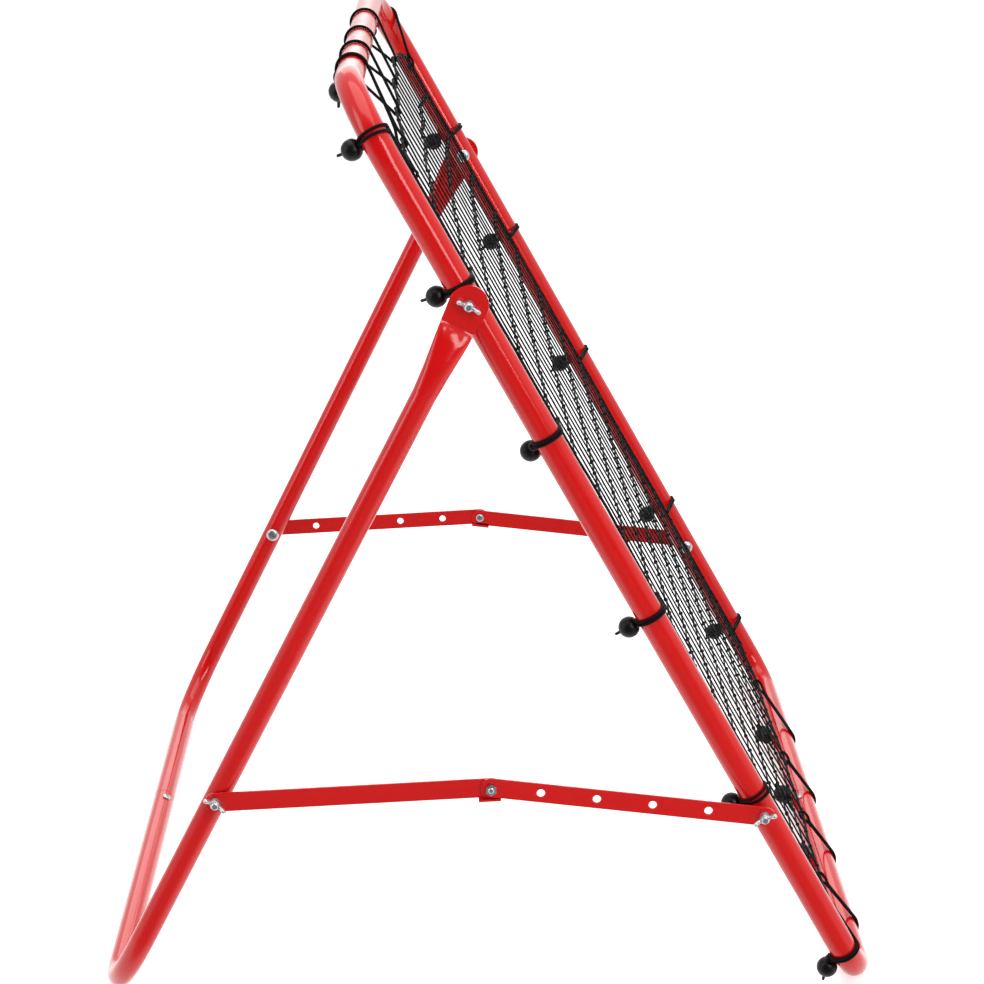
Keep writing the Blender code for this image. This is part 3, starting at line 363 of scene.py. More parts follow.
black_plastic = uneven(
    ("moulded_black_plastic", (0.008, 0.008, 0.009), 0.34, 0.0, 0.20),
    (180, 3, (0.0015, 0.0015, 0.002), (0.0045, 0.0045, 0.005)),
    (500, 3, 0.26, 0.44),
    (1800, 2, 0.03 * MM, 0.5),
)
print("black finishes:", net_cord.name, elastic_sleeve.name, black_plastic.name)

# %% [markdown]
# ## Making skins
#
# Most of this object is something round that follows a path: tube, cord, bolt. One helper carries a
# ring of points along a path without twisting it, and another sews neighbouring rings together.

# %% Rings, skins and pieces


def placed(name, data):
    """An object for a mesh or curve, in the scene."""
    made = bpy.data.objects.new(name, data)
    scene.collection.objects.link(made)
    return made


def moved(work, matrix):
    """Moves a whole bmesh."""
    bmesh.ops.transform(work, matrix=matrix, verts=work.verts)
    return work


def circle(sides):
    """Evenly spaced turns round a circle."""
    return [math.tau * i / sides for i in range(sides)]


def path_frames(points):
    """For each point, two directions across the path that turn with it but don't twist round it."""
    runs = []
    for i, point in enumerate(points):
        before = point - points[max(i - 1, 0)]
        after = points[min(i + 1, len(points) - 1)] - point
        run = before.normalized() + after.normalized()
        runs.append(run.normalized())
    side = runs[0].orthogonal().normalized()
    frames = []
    for i, run in enumerate(runs):
        if i:
            side = runs[i - 1].rotation_difference(run) @ side
        side = (side - run * side.dot(run)).normalized()
        frames.append((side, run.cross(side)))
    return frames


def ring(centre, across, radius, sides):
    """Points round a place, in the plane of two directions."""
    return [centre + (across[0] * math.cos(a) + across[1] * math.sin(a)) * radius for a in circle(sides)]


def skin(rings, joined=False):
    """Sews rings into one closed skin: capped at both ends, or joined end to end."""
    sides = len(rings[0])
    work = bmesh.new()
    rows = [[work.verts.new(place) for place in row] for row in rings]
    pairs = list(zip(rows, rows[1:]))
    if joined:
        pairs.append((rows[-1], rows[0]))
    for first, second in pairs:
        for i in range(sides):
            j = (i + 1) % sides
            work.faces.new((first[i], first[j], second[j], second[i]))
    if not joined:
        work.faces.new(rows[0])
        work.faces.new(rows[-1])
    bmesh.ops.recalc_face_normals(work, faces=work.faces)
    return work


def finished(work, name, angle=40):
    """Turns a bmesh into a smooth shaded mesh."""
    mesh = bpy.data.meshes.new(name)
    work.to_mesh(mesh)
    work.free()
    mesh.shade_smooth()
    mesh.set_sharp_from_angle(angle=math.radians(angle))
    return mesh


def dress(name, mesh, finish, body, slot, *nodes):
    """Makes a piece of a mesh: it wears a finish, rides on a body and stands for its CAD nodes."""
    piece = placed(name, mesh)
    mesh.materials.clear()
    mesh.materials.append(finish)
    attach(piece, body)
    if nodes:
        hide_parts(*nodes)
    if finish in (red_paint, zinc, cast_zinc):
        even_shading(piece)


def plain_mesh(piece):
    """What a piece's modifiers or curve settings make of it, as a plain mesh."""
    bpy.context.view_layer.update()
    return bpy.data.meshes.new_from_object(piece.evaluated_get(bpy.context.evaluated_depsgraph_get()))


def applied(piece):
    """Turns a piece's live modifiers into plain mesh."""
    mesh = plain_mesh(piece)
    piece.modifiers.clear()
    piece.data = mesh


def even_shading(piece):
    """Lets large faces decide the shading next to their small rounded edges, so that flats look flat."""
    step = piece.modifiers.new("even", "WEIGHTED_NORMAL")
    step.mode = "FACE_AREA"
    step.weight = 50
    step.keep_sharp = True
    applied(piece)


def bend(before, corner, after, radius, steps=24):
    """The points of a round bend between two straight runs."""
    towards = (before - corner).normalized()
    away = (after - corner).normalized()
    half = towards.angle(away) / 2
    middle = corner + (towards + away).normalized() * (radius / math.sin(half))
    start = corner + towards * (radius / math.tan(half)) - middle
    swing = math.pi - 2 * half
    axis = start.cross(corner + away * (radius / math.tan(half)) - middle).normalized()
    return [middle + Matrix.Rotation(swing * i / steps, 3, axis) @ start for i in range(steps + 1)]


# %% [markdown]
# ## Net frame
#
# The frame is two bent tubes that slip together in the middle of the top and the bottom. The near
# tube is the outer one of both joints. The far tube's ends are drawn down to a spigot that hides
# inside. The tubes are hollow, so the skin runs along the outside, turns over the cut rim and comes
# back along the bore.

# %% Bend the two halves of the net frame
WALL = 1.2 * MM
GAP = 0.3 * MM
RIM = 0.5 * MM
FRAME_BEND = 65 * MM
FRAME_FOOT_BEND = 36 * MM  # the bottom bends are the tighter ones in the photograph
FRAME_JOINT_X = 15 * MM
SPIGOT = 35 * MM
TUBE_SIDES = 56


def hollow_tube(points, outer, bore):
    """A tube with a wall: the outer skin forwards, then the bore backwards."""
    stations = list(zip(points, path_frames(points), outer, bore, strict=True))
    rings = [ring(p, f, out_r, TUBE_SIDES) for p, f, out_r, _ in stations]
    rings += [ring(p, f, bore_r, TUBE_SIDES) for p, f, _, bore_r in reversed(stations)]
    return skin(rings, joined=True)


def with_rims(points, radius, spigot):
    """Adds the rolled rim of a cut end, or the step down to a spigot, at both ends of a path."""
    first = (points[0] - points[1]).normalized()
    last = (points[-1] - points[-2]).normalized()
    if spigot:
        inner = radius - WALL - GAP
        reaches, outer = (SPIGOT, 0.01 * MM, 0, -RIM), [inner, inner, radius - RIM, radius]
        bore = [inner - WALL] * 4
    else:
        reaches, outer = (0, -RIM * 0.4, -RIM), [radius - RIM, radius - RIM * 0.25, radius]
        bore = [radius - WALL] * 3
    head = [points[0] + first * reach for reach in reaches]
    tail = [points[-1] + last * reach for reach in reversed(reaches)]
    full = len(points) - 2
    outer, bore = outer + [radius] * full + outer[::-1], bore + [radius - WALL] * full + bore
    return head + points[1:-1] + tail, outer, bore


for name, side in SIDES:
    joint_x = FRAME_JOINT_X if side == NEAR else FRAME_JOINT_X + GAP
    axis_x = side * HALF_WIDTH
    outline = ((joint_x, 0), (axis_x, 0), (axis_x, FRAME_LENGTH), (joint_x, FRAME_LENGTH))
    corners = [on_frame(*place) for place in outline]
    path = [corners[0]]
    path += bend(*corners[:3], FRAME_FOOT_BEND)
    path += bend(*corners[1:], FRAME_BEND)
    path.append(corners[3])
    mesh = finished(hollow_tube(*with_rims(path, FRAME_R, side == FAR)), f"{name}_frame_tube", 50)
    dress(f"{name}_frame_tube", mesh, red_paint, "frame", "red_paint", f"{name}_frame_half")
    print(f"{name} half of the frame: {len(mesh.polygons)} faces")

# %% [markdown]
# ## Leg
#
# Each leg half is a thinner tube whose top is pressed flat and rounded, so that it can be bolted
# against the frame. Going down from the flat, the section swells back to a circle and bulges outwards
# only, because the inner face lies on the frame. The press leaves crisp facets that catch the light.
# So this skin is lofted through sections that change: a circle cut off by the two faces of the press.

# %% Press and bend the leg
EAR_IN = FRAME_R + GAP
EAR_THICK = 2.6 * MM
EAR_R = 15.5 * MM
EAR_FLAT = 19 * MM
EAR_ENDS = 76 * MM  # where the section is a full circle again
SHOULDER = 65 * MM
STAY_ON_LEG = 0.453
LEG_AXIS_OUT = EAR_IN + LEG_R
LEG_FACE_AT_STAY = 13.55 * MM
SPLAY = (LEG_AXIS_OUT - LEG_FACE_AT_STAY + LEG_R) / (STAY_ON_LEG - SHOULDER)
LEG_AXIS_AT_FOOT = LEG_FACE_AT_STAY - LEG_R - SPLAY * (LEG_LENGTH - STAY_ON_LEG)
LEG_BEND = 70 * MM
LEG_JOINT_X = 75 * MM


def along_table(table, at):
    """Reads a table of (place, value) pairs, with straight lines between them."""
    for (a, low), (b, high) in zip(table, table[1:]):
        if at <= b:
            return low + (high - low) * max(at - a, 0) / (b - a)
    return table[-1][1]


# Down from the pivot, in millimetres: half the width and half the thickness of the pressed end.
HALF_WIDE = ((0, 15.5), (8, 14.8), (19, 14.0), (31, 13.2), (46, 11.8), (57, 10.8), (76, 9.65))
HALF_THICK = ((0, 1.3), (19, 1.3), (22, 2.9), (26, 4.3), (31, 5.4), (46, 7.5), (57, 8.7), (76, 9.65))
SECTIONS = (5, 10, 14, 17, 19, 20, 21, 22, 23.5, 25, 27, 29, 31, *range(34, 71, 4), 73, 76)
PLEAT_AT, PLEAT_WIDE, PLEAT_LONG = 0.52, 0.3, 9 * MM


def pressed_ring(side, down, half_wide, half_thick):
    """A section of the pressed end: a circle cut off flat on the ear, then an oval that fills out."""
    middle = EAR_IN + half_thick - SPLAY * max(down - SHOULDER, 0)
    flat = EAR_THICK / 2
    rows = []
    for i in range(TUBE_SIDES):
        a = math.tau * (i + 0.5) / TUBE_SIDES
        back = math.sin(a) * half_wide
        reach = min(abs(math.cos(a)) * half_wide, flat)
        if half_thick > flat:
            pleat = max(0, 1 - abs(abs(back) / half_wide - PLEAT_AT) / PLEAT_WIDE)
            # On the outer face, two folds stay flat a little longer.
            late = max(0, 1 - max(down - EAR_FLAT, 0) / PLEAT_LONG) * pleat if math.cos(a) > 0 else 0
            oval = abs(math.cos(a)) ** 0.8 * half_thick
            reach = max(oval - late * (oval - flat) * 0.8, reach)
        out = math.copysign(reach, math.cos(a))
        rows.append(on_leg(side * (HALF_WIDTH + middle + out), down, back))
    return rows


def leg_path(side):
    """The round tube's axis, across and down, with the radius at each place, from shoulder to joint."""
    starts = LEG_AXIS_OUT - SPLAY * (EAR_ENDS - SHOULDER)
    shoulder = Vector((side * (HALF_WIDTH + starts), EAR_ENDS, 0))
    foot = Vector((side * (HALF_WIDTH + LEG_AXIS_AT_FOOT), LEG_LENGTH, 0))
    end = Vector((LEG_JOINT_X if side == NEAR else LEG_JOINT_X + GAP, LEG_LENGTH, 0))
    path = [shoulder] + bend(shoulder, foot, end, LEG_BEND)
    inward = (end - path[-1]).normalized()
    bore, spigot = LEG_R - WALL, LEG_R - WALL - GAP
    if side == NEAR:
        tail = ((-RIM, LEG_R), (-RIM * 0.4, LEG_R - RIM * 0.25), (0, LEG_R - RIM))
        tail += ((0, bore), (-20 * MM, bore))
    else:
        tail = ((-RIM, LEG_R), (0, LEG_R - RIM), (0.02 * MM, spigot), (SPIGOT, spigot))
    radii = [LEG_R] * len(path) + [radius for _, radius in tail]
    return path + [end + inward * reach for reach, _ in tail], radii, inward


def leg_skin(side):
    """The ear, the crease and the swelling shoulder, then the round tube down to the joint."""
    rows = []
    for i in range(1, 13):
        a = math.pi / 2 * i / 12
        rows.append(pressed_ring(side, -EAR_R * math.cos(a), EAR_R * math.sin(a), EAR_THICK / 2))
    for down in SECTIONS:
        half_wide, half_thick = along_table(HALF_WIDE, down), along_table(HALF_THICK, down)
        rows.append(pressed_ring(side, down * MM, half_wide * MM, half_thick * MM))
    path, radii, inward = leg_path(side)
    for i in range(1, len(path)):
        run = path[min(i + 1, len(path) - 1)] - path[i - 1]
        if i >= len(path) - 4 or run.length < 1e-6:
            run = inward
        run = run.normalized()
        across = Vector((run.y, -run.x, 0)) * (side if run.y >= 0 else -side)
        row = []
        for k in range(TUBE_SIDES):
            a = math.tau * (k + 0.5) / TUBE_SIDES
            at = path[i] + across * (math.cos(a) * radii[i])
            row.append(on_leg(at.x, at.y, math.sin(a) * radii[i]))
        rows.append(row)
    return skin(rows)


for name, side in SIDES:
    mesh = finished(leg_skin(side), f"{name}_leg_tube", 22)
    dress(f"{name}_leg_tube", mesh, red_paint, "leg", "red_paint", f"{name}_leg_half")
    print(f"{name} half of the leg: {len(mesh.polygons)} faces")

# %% [markdown]
# ## Stays
#
# Each stay is two strips punched from 2 mm steel and painted. Blender fills a flat curve between its
# outline and its holes, and a tiny bevel rounds the punched edges where the light catches them.

# %% Punch the stay strips
STRIP_WIDTH = 16 * MM
STRIP_THICK = 2 * MM
STRIP_EDGE = 0.35 * MM
PLAIN_IN = 14.95 * MM
PLAIN_OUT = PLAIN_IN + STRIP_THICK
HOLED_IN = PLAIN_OUT + GAP
HOLED_OUT = HOLED_IN + STRIP_THICK
HINGE_DROP = 0.7 * MM
LIP_BELOW = HINGE_DROP + GAP  # the lip stands clear of the holed strip's end
LIP_THICK = 1.8 * MM
STAY_ON_FRAME = 0.481
STAY_RISE = math.radians(4.8)
BOLT_HOLE_R, HINGE_HOLE_R = 3.3 * MM, 2.8 * MM
ADJUST_HOLES = 5
ADJUST_STEP = 0.2047  # of the distance between the strip's pivots


def side_axes(side, place):
    """Axes for a piece on a bolt: X points outwards from the object, Y to the camera's right."""
    turn = Matrix.Rotation(0 if side == FAR else math.pi, 4, "Z")
    return Matrix.Translation((side * HALF_WIDTH, place.y, place.z)) @ turn


def stay_pivots(side):
    """The strip's three pivots: the plain strip's far end, the middle hinge and the holed end."""
    on_the_leg, on_the_frame = on_leg(0, STAY_ON_LEG), on_frame(0, PIVOT_UP - STAY_ON_FRAME)
    plain_end, holed_end = (on_the_leg, on_the_frame) if side == NEAR else (on_the_frame, on_the_leg)
    span = holed_end - plain_end
    lift = Vector((0, -span.z, span.y)).normalized()
    lift = lift if lift.z > 0 else -lift
    return plain_end, plain_end + span / 2 + lift * (span.length / 2 * math.tan(STAY_RISE)), holed_end


def punched(outline, holes):
    """A flat strip with round holes and softened edges, lying in X and Y."""
    curve = bpy.data.curves.new("punched", "CURVE")
    curve.dimensions = "2D"
    curve.fill_mode = "BOTH"
    curve.extrude = STRIP_THICK / 2 - STRIP_EDGE
    curve.bevel_depth = STRIP_EDGE
    curve.bevel_resolution = 3
    curve.offset = -STRIP_EDGE
    rings = [outline]
    for x, y, radius in holes:
        rings.append([(x + radius * math.cos(a), y - radius * math.sin(a)) for a in circle(40)])
    for places in rings:
        spline = curve.splines.new("POLY")
        spline.points.add(len(places) - 1)
        spline.use_cyclic_u = True
        for knot, (x, y) in zip(spline.points, places, strict=True):
            knot.co = (x, y, 0, 1)
    work = taken(placed("punched", curve))
    bmesh.ops.recalc_face_normals(work, faces=work.faces)
    return work


def taken(helper):
    """A helper's mesh as a bmesh. The helper is gone afterwards."""
    work = bmesh.new()
    work.from_mesh(plain_mesh(helper))
    bpy.data.objects.remove(helper, do_unlink=True)
    bmesh.ops.remove_doubles(work, verts=work.verts, dist=1e-6)
    return work


def strip_outline(length):
    """Round ends with slightly squared shoulders, as the punch leaves them."""
    radius = STRIP_WIDTH / 2
    left = []
    for i in range(25):
        a = math.pi / 2 + math.pi * i / 24
        c, s = math.cos(a), math.sin(a)
        left.append((radius * 1.04 * c, radius * math.copysign(min(abs(s) ** 0.8, 1.0), s)))
    return left + [(length - x, -y) for x, y in left]


def lay_strip(work, laid, start):
    """Stands a strip on its side axes, with its inner face at start."""
    stand = Matrix(((0, 0, 1, start + STRIP_THICK / 2), (1, 0, 0, 0), (0, 1, 0, 0), (0, 0, 0, 1)))
    return moved(work, laid @ stand)


def slope(side, start, end):
    """The angle at which a strip runs from one pivot to the next, seen from outside."""
    run = end - start
    return math.atan2(run.z, run.y if side == FAR else -run.y)


def lip_ahead(reach):
    """How far past the hinge the lip may run before the folding strip would meet it."""
    folded = 2 * STAY_RISE + math.asin(HINGE_DROP / reach)
    edge = STRIP_WIDTH / 2
    return (edge + LIP_BELOW - GAP - (edge - HINGE_DROP) / math.cos(folded)) / math.tan(folded)


def stop_lip(reach):
    """The folded lip: down from the plain strip's edge, then outwards under the holed strip."""
    edge = STRIP_WIDTH / 2
    under = -edge - LIP_BELOW
    profile = [(PLAIN_IN, -edge + 2.0 * MM)]
    for i in range(7):
        a = math.pi / 2 * i / 6
        profile.append((PLAIN_IN + LIP_THICK * (1 - math.cos(a)), under - LIP_THICK * math.sin(a)))
    profile += [(HOLED_OUT + 0.5 * MM, under - LIP_THICK), (HOLED_OUT + 0.5 * MM, under - 0.02 * MM)]
    profile += [(PLAIN_IN + 2.0 * MM, under - 0.02 * MM), (PLAIN_IN + 2.0 * MM, -edge + 2.0 * MM)]
    ends = (reach - 10.5 * MM, reach + lip_ahead(reach))
    return skin([[Vector((x, y, z)) for x, z in profile] for y in ends])


def joined_mesh(parts, name, angle=40):
    """Several bmeshes in one mesh."""
    whole = bmesh.new()
    for part in parts:
        kept = bpy.data.meshes.new("part")
        part.to_mesh(kept)
        part.free()
        whole.from_mesh(kept)
        bpy.data.meshes.remove(kept)
    return finished(whole, name, angle)


for name, side in SIDES:
    plain_end, hinge, holed_end = stay_pivots(side)
    reach = (hinge - plain_end).length
    laid = side_axes(side, plain_end) @ Matrix.Rotation(slope(side, plain_end, hinge), 4, "X")
    plain = punched(strip_outline(reach), ((0, 0, BOLT_HOLE_R), (reach, 0, HINGE_HOLE_R)))
    parts = [lay_strip(plain, laid, PLAIN_IN), moved(stop_lip(reach), laid)]
    body = f"{name}_plain_stay"
    mesh = joined_mesh(parts, f"{body}_strip")
    dress(f"{body}_strip", mesh, red_paint, body, "red_paint", f"{name}_plain_strip")

    middle = math.sqrt(reach**2 - HINGE_DROP**2)
    holes = [(0, -HINGE_DROP, HINGE_HOLE_R)]
    holes += [(middle * (1 - ADJUST_STEP * i), 0, BOLT_HOLE_R) for i in range(ADJUST_HOLES)]
    tilt = Matrix.Rotation(slope(side, hinge, holed_end) - math.asin(HINGE_DROP / reach), 4, "X")
    laid = side_axes(side, hinge) @ tilt @ Matrix.Translation((0, 0, HINGE_DROP))
    holed = lay_strip(punched(strip_outline(middle), holes), laid, HOLED_IN)
    body = f"{name}_holed_stay"
    mesh = finished(holed, f"{body}_strip")
    dress(f"{body}_strip", mesh, red_paint, body, "red_paint", f"{name}_holed_strip")
    print(f"{name} stay: {reach / MM:.1f} mm between pivots, {len(holes)} holes in the holed strip")

# %% [markdown]
# ## Fasteners
#
# Bolts, nuts and screws are turned shapes: an outline spun about its axis. The bolt tips have real
# thread ridges, because they show inside the wing nuts. The heads have a pressed cross recess.

# %% Turn bolts, nuts and washers


def spun_rings(profile, sides=48):
    """A ring about X for each (along, radius) pair."""
    rings = []
    for along, radius in profile:
        rings.append([Vector((along, radius * math.cos(a), radius * math.sin(a))) for a in circle(sides)])
    return rings


def spun(profile, sides=48):
    """Spins an outline about X. It starts and ends on the axis."""
    return skin(spun_rings(profile[1:-1], sides))


def bored(start, end, radius, sides=48):
    """A plain round bar, to cut a bore with."""
    return solid(spun([(start, 0), (start, radius), (end, radius), (end, 0)], sides), "bore")


def hexagon_nut(across, start, end, hole):
    """A hexagon cut out of a chamfered disc, then bored."""
    flat = across / 2
    corner = flat / math.cos(math.pi / 6)
    work = bmesh.new()
    bmesh.ops.create_cone(work, cap_ends=True, segments=6, radius1=corner, radius2=corner, depth=end - start)
    lay = Matrix.Translation(((start + end) / 2, 0, 0)) @ Matrix.Rotation(math.pi / 2, 4, "Y")
    nut = solid(moved(work, lay), "nut")
    chamfer = (corner - flat) * 0.55
    disc = [(start, 0), (start, flat * 0.97), (start + chamfer, corner * 1.01)]
    disc += [(end - chamfer, corner * 1.01), (end, flat * 0.97), (end, 0)]
    cut(nut, solid(spun(disc), "disc"), "INTERSECT")
    cut(nut, bored(start - MM, end + MM, hole), "DIFFERENCE")
    return taken(nut)


def solid(work, name):
    """A loose helper object made of a bmesh."""
    mesh = bpy.data.meshes.new(name)
    work.to_mesh(mesh)
    work.free()
    return placed(name, mesh)


def cut(target, tool, operation):
    """Cuts or intersects a helper with a tool, for good, and removes the tool."""
    step = target.modifiers.new("cut", "BOOLEAN")
    step.operation = operation
    step.solver = "EXACT"
    step.object = tool
    applied(target)
    bpy.data.objects.remove(tool, do_unlink=True)


def threaded(start, end, radius, pitch=1.0 * MM):
    """The outline of a thread's ridges from start to end, with a turned-off tip."""
    outline = []
    along = start
    while along < end - 1.2 * MM:
        outline += [(along, radius), (along + pitch * 0.5, radius * 0.9)]
        along += pitch
    return outline + [(end - 0.7 * MM, radius), (end, radius - 0.8 * MM)]


def pan_head_bolt(head_face, head_h, head_r, shank_r, tip, thread_start):
    """A round head with a cross recess, a plain shank and a threaded tip."""
    profile = [(head_face - head_h, 0)]
    for i in range(9):
        a = math.pi / 2 * i / 8
        crown_r = head_r * (0.12 + 0.88 * math.sin(a) ** 0.8)
        profile.append((head_face - head_h * (0.25 + 0.75 * math.cos(a)), crown_r))
    profile += [(head_face, head_r), (head_face, shank_r), (thread_start, shank_r)]
    profile += threaded(thread_start + 0.1 * MM, tip, shank_r) + [(tip, 0)]
    bolt = solid(spun(profile), "bolt")
    slot_size = Matrix.Diagonal((head_h * 1.24, head_r * 0.16, head_r * 0.96, 1))
    for turn in (0, math.pi / 2):
        work = bmesh.new()
        bmesh.ops.create_cube(work, size=1)
        where = Matrix.Translation((head_face - head_h, 0, 0)) @ Matrix.Rotation(turn, 4, "X") @ slot_size
        cut(bolt, solid(moved(work, where), "recess"), "DIFFERENCE")
    return taken(bolt)


def washer(start, end, radius, hole):
    """A flat ring with its outer edges turned off."""
    edge = min(0.25 * MM, (end - start) * 0.3)
    profile = [(start, hole), (start, radius - edge), (start + edge, radius)]
    profile += [(end - edge, radius), (end, radius - edge), (end, hole)]
    return skin(spun_rings(profile), joined=True)


print("turned shapes: bolt, thread, hexagon nut and washer")

# %% [markdown]
# A wing nut is a casting, so nothing on it is sharp. It is built roughly from overlapping lumps, then
# remeshed with small voxels and smoothed, which melts the lumps into one casting.

# %% Cast the wing nuts
WING_SPAN = 20.6  # all in millimetres
HUB_PROFILE = ((0, 0), (0, 4.6), (1.2, 4.5), (6.6, 3.7), (7, 0))
WING_FROM, WING_END_R, WING_LUMPS = 3.2, 2.2, 9


def lump(place, size):
    """An egg shaped lump for a casting, before it is melted into the rest."""
    work = bmesh.new()
    bmesh.ops.create_icosphere(work, subdivisions=3, radius=1.0)
    return moved(work, Matrix.Translation(place) @ Matrix.Diagonal((*size, 1)))


def wing_nut_mesh():
    """A wing nut about X, its base at 0 and its wings along Y."""
    parts = [spun([(along * MM, radius * MM) for along, radius in HUB_PROFILE])]
    for way in (-1, 1):
        for i in range(WING_LUMPS):
            share = i / (WING_LUMPS - 1)
            y = way * (WING_FROM + (WING_SPAN / 2 - WING_FROM - WING_END_R) * share) * MM
            x = (3.6 + 3.4 * share**1.4) * MM
            tall = (2.9 - 0.9 * share + 0.5 * share**3) * MM
            thick = (1.6 + 0.35 * share) * MM
            parts.append(lump((x, y, 0), (tall, 2.3 * MM, thick)))
    casting = placed("casting", joined_mesh(parts, "casting", 180))
    melt = casting.modifiers.new("melt", "REMESH")
    melt.mode = "VOXEL"
    melt.voxel_size = 0.42 * MM
    melt.use_smooth_shade = True
    soften = casting.modifiers.new("soften", "SMOOTH")
    soften.factor = 0.6
    soften.iterations = 5
    applied(casting)
    cut(casting, bored(-MM, 12 * MM, 3.1 * MM, 40), "DIFFERENCE")
    return finished(taken(casting), "wing_nut_kept", 50)


wing_nut_kept = wing_nut_mesh()
print("one wing nut:", len(wing_nut_kept.polygons), "faces")

# %% [markdown]
# Now each bolt is set where CAD has it. The wings lie at the angles that the photograph shows. The
# thread that shows past the wing nut is a part of the bolt. Where the closed stay linkage is opened,
# the bolt's outer end is a piece of its own that swings with the strip.

# %% Set the bolts and wing nuts
BOLT_R = 3 * MM
HEAD_R, HEAD_H = 6.5 * MM, 3.6 * MM
PAST = 1.5 * MM
HUB_H = 7 * MM
EAR_OUT = EAR_IN + EAR_THICK
FRAME_HEAD_FACE = -FRAME_R - GAP
LEG_HEAD_FACE = LEG_FACE_AT_STAY - 2 * LEG_R - GAP - SPLAY * HEAD_R
WINGS = {  # the angle of each wing nut
    "near_pivot": -29,
    "near_leg_stay": -34,
    "near_frame_stay": 23,
    "far_pivot": 29,
    "far_frame_stay": 20,
    "far_leg_stay": -15,
}


def wing_nut(name, side, place, start):
    """Copies the casting onto a bolt's axis."""
    work = bmesh.new()
    work.from_mesh(wing_nut_kept)
    turn = Matrix.Rotation(math.radians(WINGS[name]), 4, "X")
    moved(work, side_axes(side, place) @ turn @ Matrix.Translation((start, 0, 0)))
    nut = f"{name}_wing_nut"
    dress(f"{nut}_casting", finished(work, nut, 50), cast_zinc, nut, "zinc", nut)


def fastener(name, work, side, place, body, node, spin=0.0):
    """Puts a turned piece on its bolt axis."""
    moved(work, side_axes(side, place) @ Matrix.Rotation(spin, 4, "X"))
    dress(name, finished(work, name, 35), zinc, body, "zinc", node)


def whole_bolt(name, side, place, head_face, nut_start, body):
    """A bolt in one piece, and its wing nut."""
    tip = nut_start + HUB_H + PAST
    work = pan_head_bolt(head_face, HEAD_H, HEAD_R, BOLT_R, tip, nut_start + HUB_H - 1.5 * MM)
    fastener(f"{name}_screw_bolt", work, side, place, body, f"{name}_bolt", spin=0.3)
    wing_nut(name, side, place, nut_start)


def opened_bolt(name, side, place, head_face, body, strip_body):
    """A bolt whose outer thread swings with the holed strip, and its wing nut."""
    tip, end = HOLED_IN - GAP, HOLED_OUT + GAP + HUB_H + PAST
    work = pan_head_bolt(head_face, HEAD_H, HEAD_R, BOLT_R, tip, tip - 2 * MM)
    fastener(f"{name}_screw_bolt", work, side, place, body, f"{name}_bolt", spin=0.5)
    thread = [(HOLED_IN, 0), (HOLED_IN, BOLT_R)] + threaded(HOLED_OUT, end, BOLT_R) + [(end, 0)]
    fastener(f"{name}_thread", spun(thread), side, place, strip_body, f"{name}_bolt_end")
    wing_nut(name, side, place, HOLED_OUT + GAP)


NEAR_PIVOTS, FAR_PIVOTS = stay_pivots(NEAR), stay_pivots(FAR)
whole_bolt("near_pivot", NEAR, PIVOT, FRAME_HEAD_FACE, EAR_OUT + GAP, "frame")
whole_bolt("far_pivot", FAR, PIVOT, FRAME_HEAD_FACE, EAR_OUT + GAP, "frame")
whole_bolt("near_leg_stay", NEAR, NEAR_PIVOTS[0], LEG_HEAD_FACE, PLAIN_OUT + GAP, "leg")
whole_bolt("far_frame_stay", FAR, FAR_PIVOTS[0], FRAME_HEAD_FACE, PLAIN_OUT + GAP, "frame")
opened_bolt("near_frame_stay", NEAR, NEAR_PIVOTS[2], FRAME_HEAD_FACE, "frame", "near_holed_stay")
opened_bolt("far_leg_stay", FAR, FAR_PIVOTS[2], LEG_HEAD_FACE, "leg", "far_holed_stay")
print("bolts with wing nuts:", len(WINGS))

# %% [markdown]
# The jam nuts and washers fill the space between the tube and the strip, so that the strips fold
# clear of the elastic loops. Their thickness is read from their CAD solids.

# %% Set the spacers and the middle hinges
JAM_NUT_ACROSS, JAM_NUT_BORE = 10 * MM, 3.15 * MM
WASHER_R, WASHER_BORE = 6.25 * MM, 3.2 * MM
SPACERS = (
    ("near_frame_stay_jam_nut", NEAR, NEAR_PIVOTS[2], "frame", 0.35),
    ("far_frame_stay_jam_nut", FAR, FAR_PIVOTS[0], "frame", 0.1),
    ("far_leg_stay_jam_nut", FAR, FAR_PIVOTS[2], "leg", 0.8),
    ("near_leg_stay_washer", NEAR, NEAR_PIVOTS[0], "leg", 0.0),
    ("near_frame_stay_washer", NEAR, NEAR_PIVOTS[2], "frame", 0.0),
)


def outward_span(node, side):
    """How far out from the side tube's axis a node starts and ends."""
    low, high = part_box(node)
    return sorted((side * low.x - HALF_WIDTH, side * high.x - HALF_WIDTH))


for node, side, place, body, spin in SPACERS:
    start, end = outward_span(node, side)
    if node.endswith("washer"):
        name, work = f"{node}_ring", washer(start, end, WASHER_R, WASHER_BORE)
    else:
        name, work = f"{node}_hexagon", hexagon_nut(JAM_NUT_ACROSS, start, end, JAM_NUT_BORE)
    fastener(name, work, side, place, body, node, spin=spin)

HINGE_HEAD_R, HINGE_HEAD_H, HINGE_BOLT_R = 4.25 * MM, 2.2 * MM, 2.5 * MM
start = HOLED_OUT + GAP
for name, side in SIDES:
    hinge, body = stay_pivots(side)[1], f"{name}_plain_stay"
    ends = (start + 4.3 * MM, start + 1.5 * MM)
    work = pan_head_bolt(PLAIN_IN - GAP, HINGE_HEAD_H, HINGE_HEAD_R, HINGE_BOLT_R, *ends)
    fastener(f"{name}_hinge_screw_bolt", work, side, hinge, body, f"{name}_hinge_bolt", spin=0.6)
    work = hexagon_nut(8 * MM, start, start + 3.5 * MM, 2.6 * MM)
    fastener(f"{name}_hinge_hexagon", work, side, hinge, body, f"{name}_hinge_nut", spin=math.pi / 2)
print("spacers:", len(SPACERS), "and 2 middle hinges")

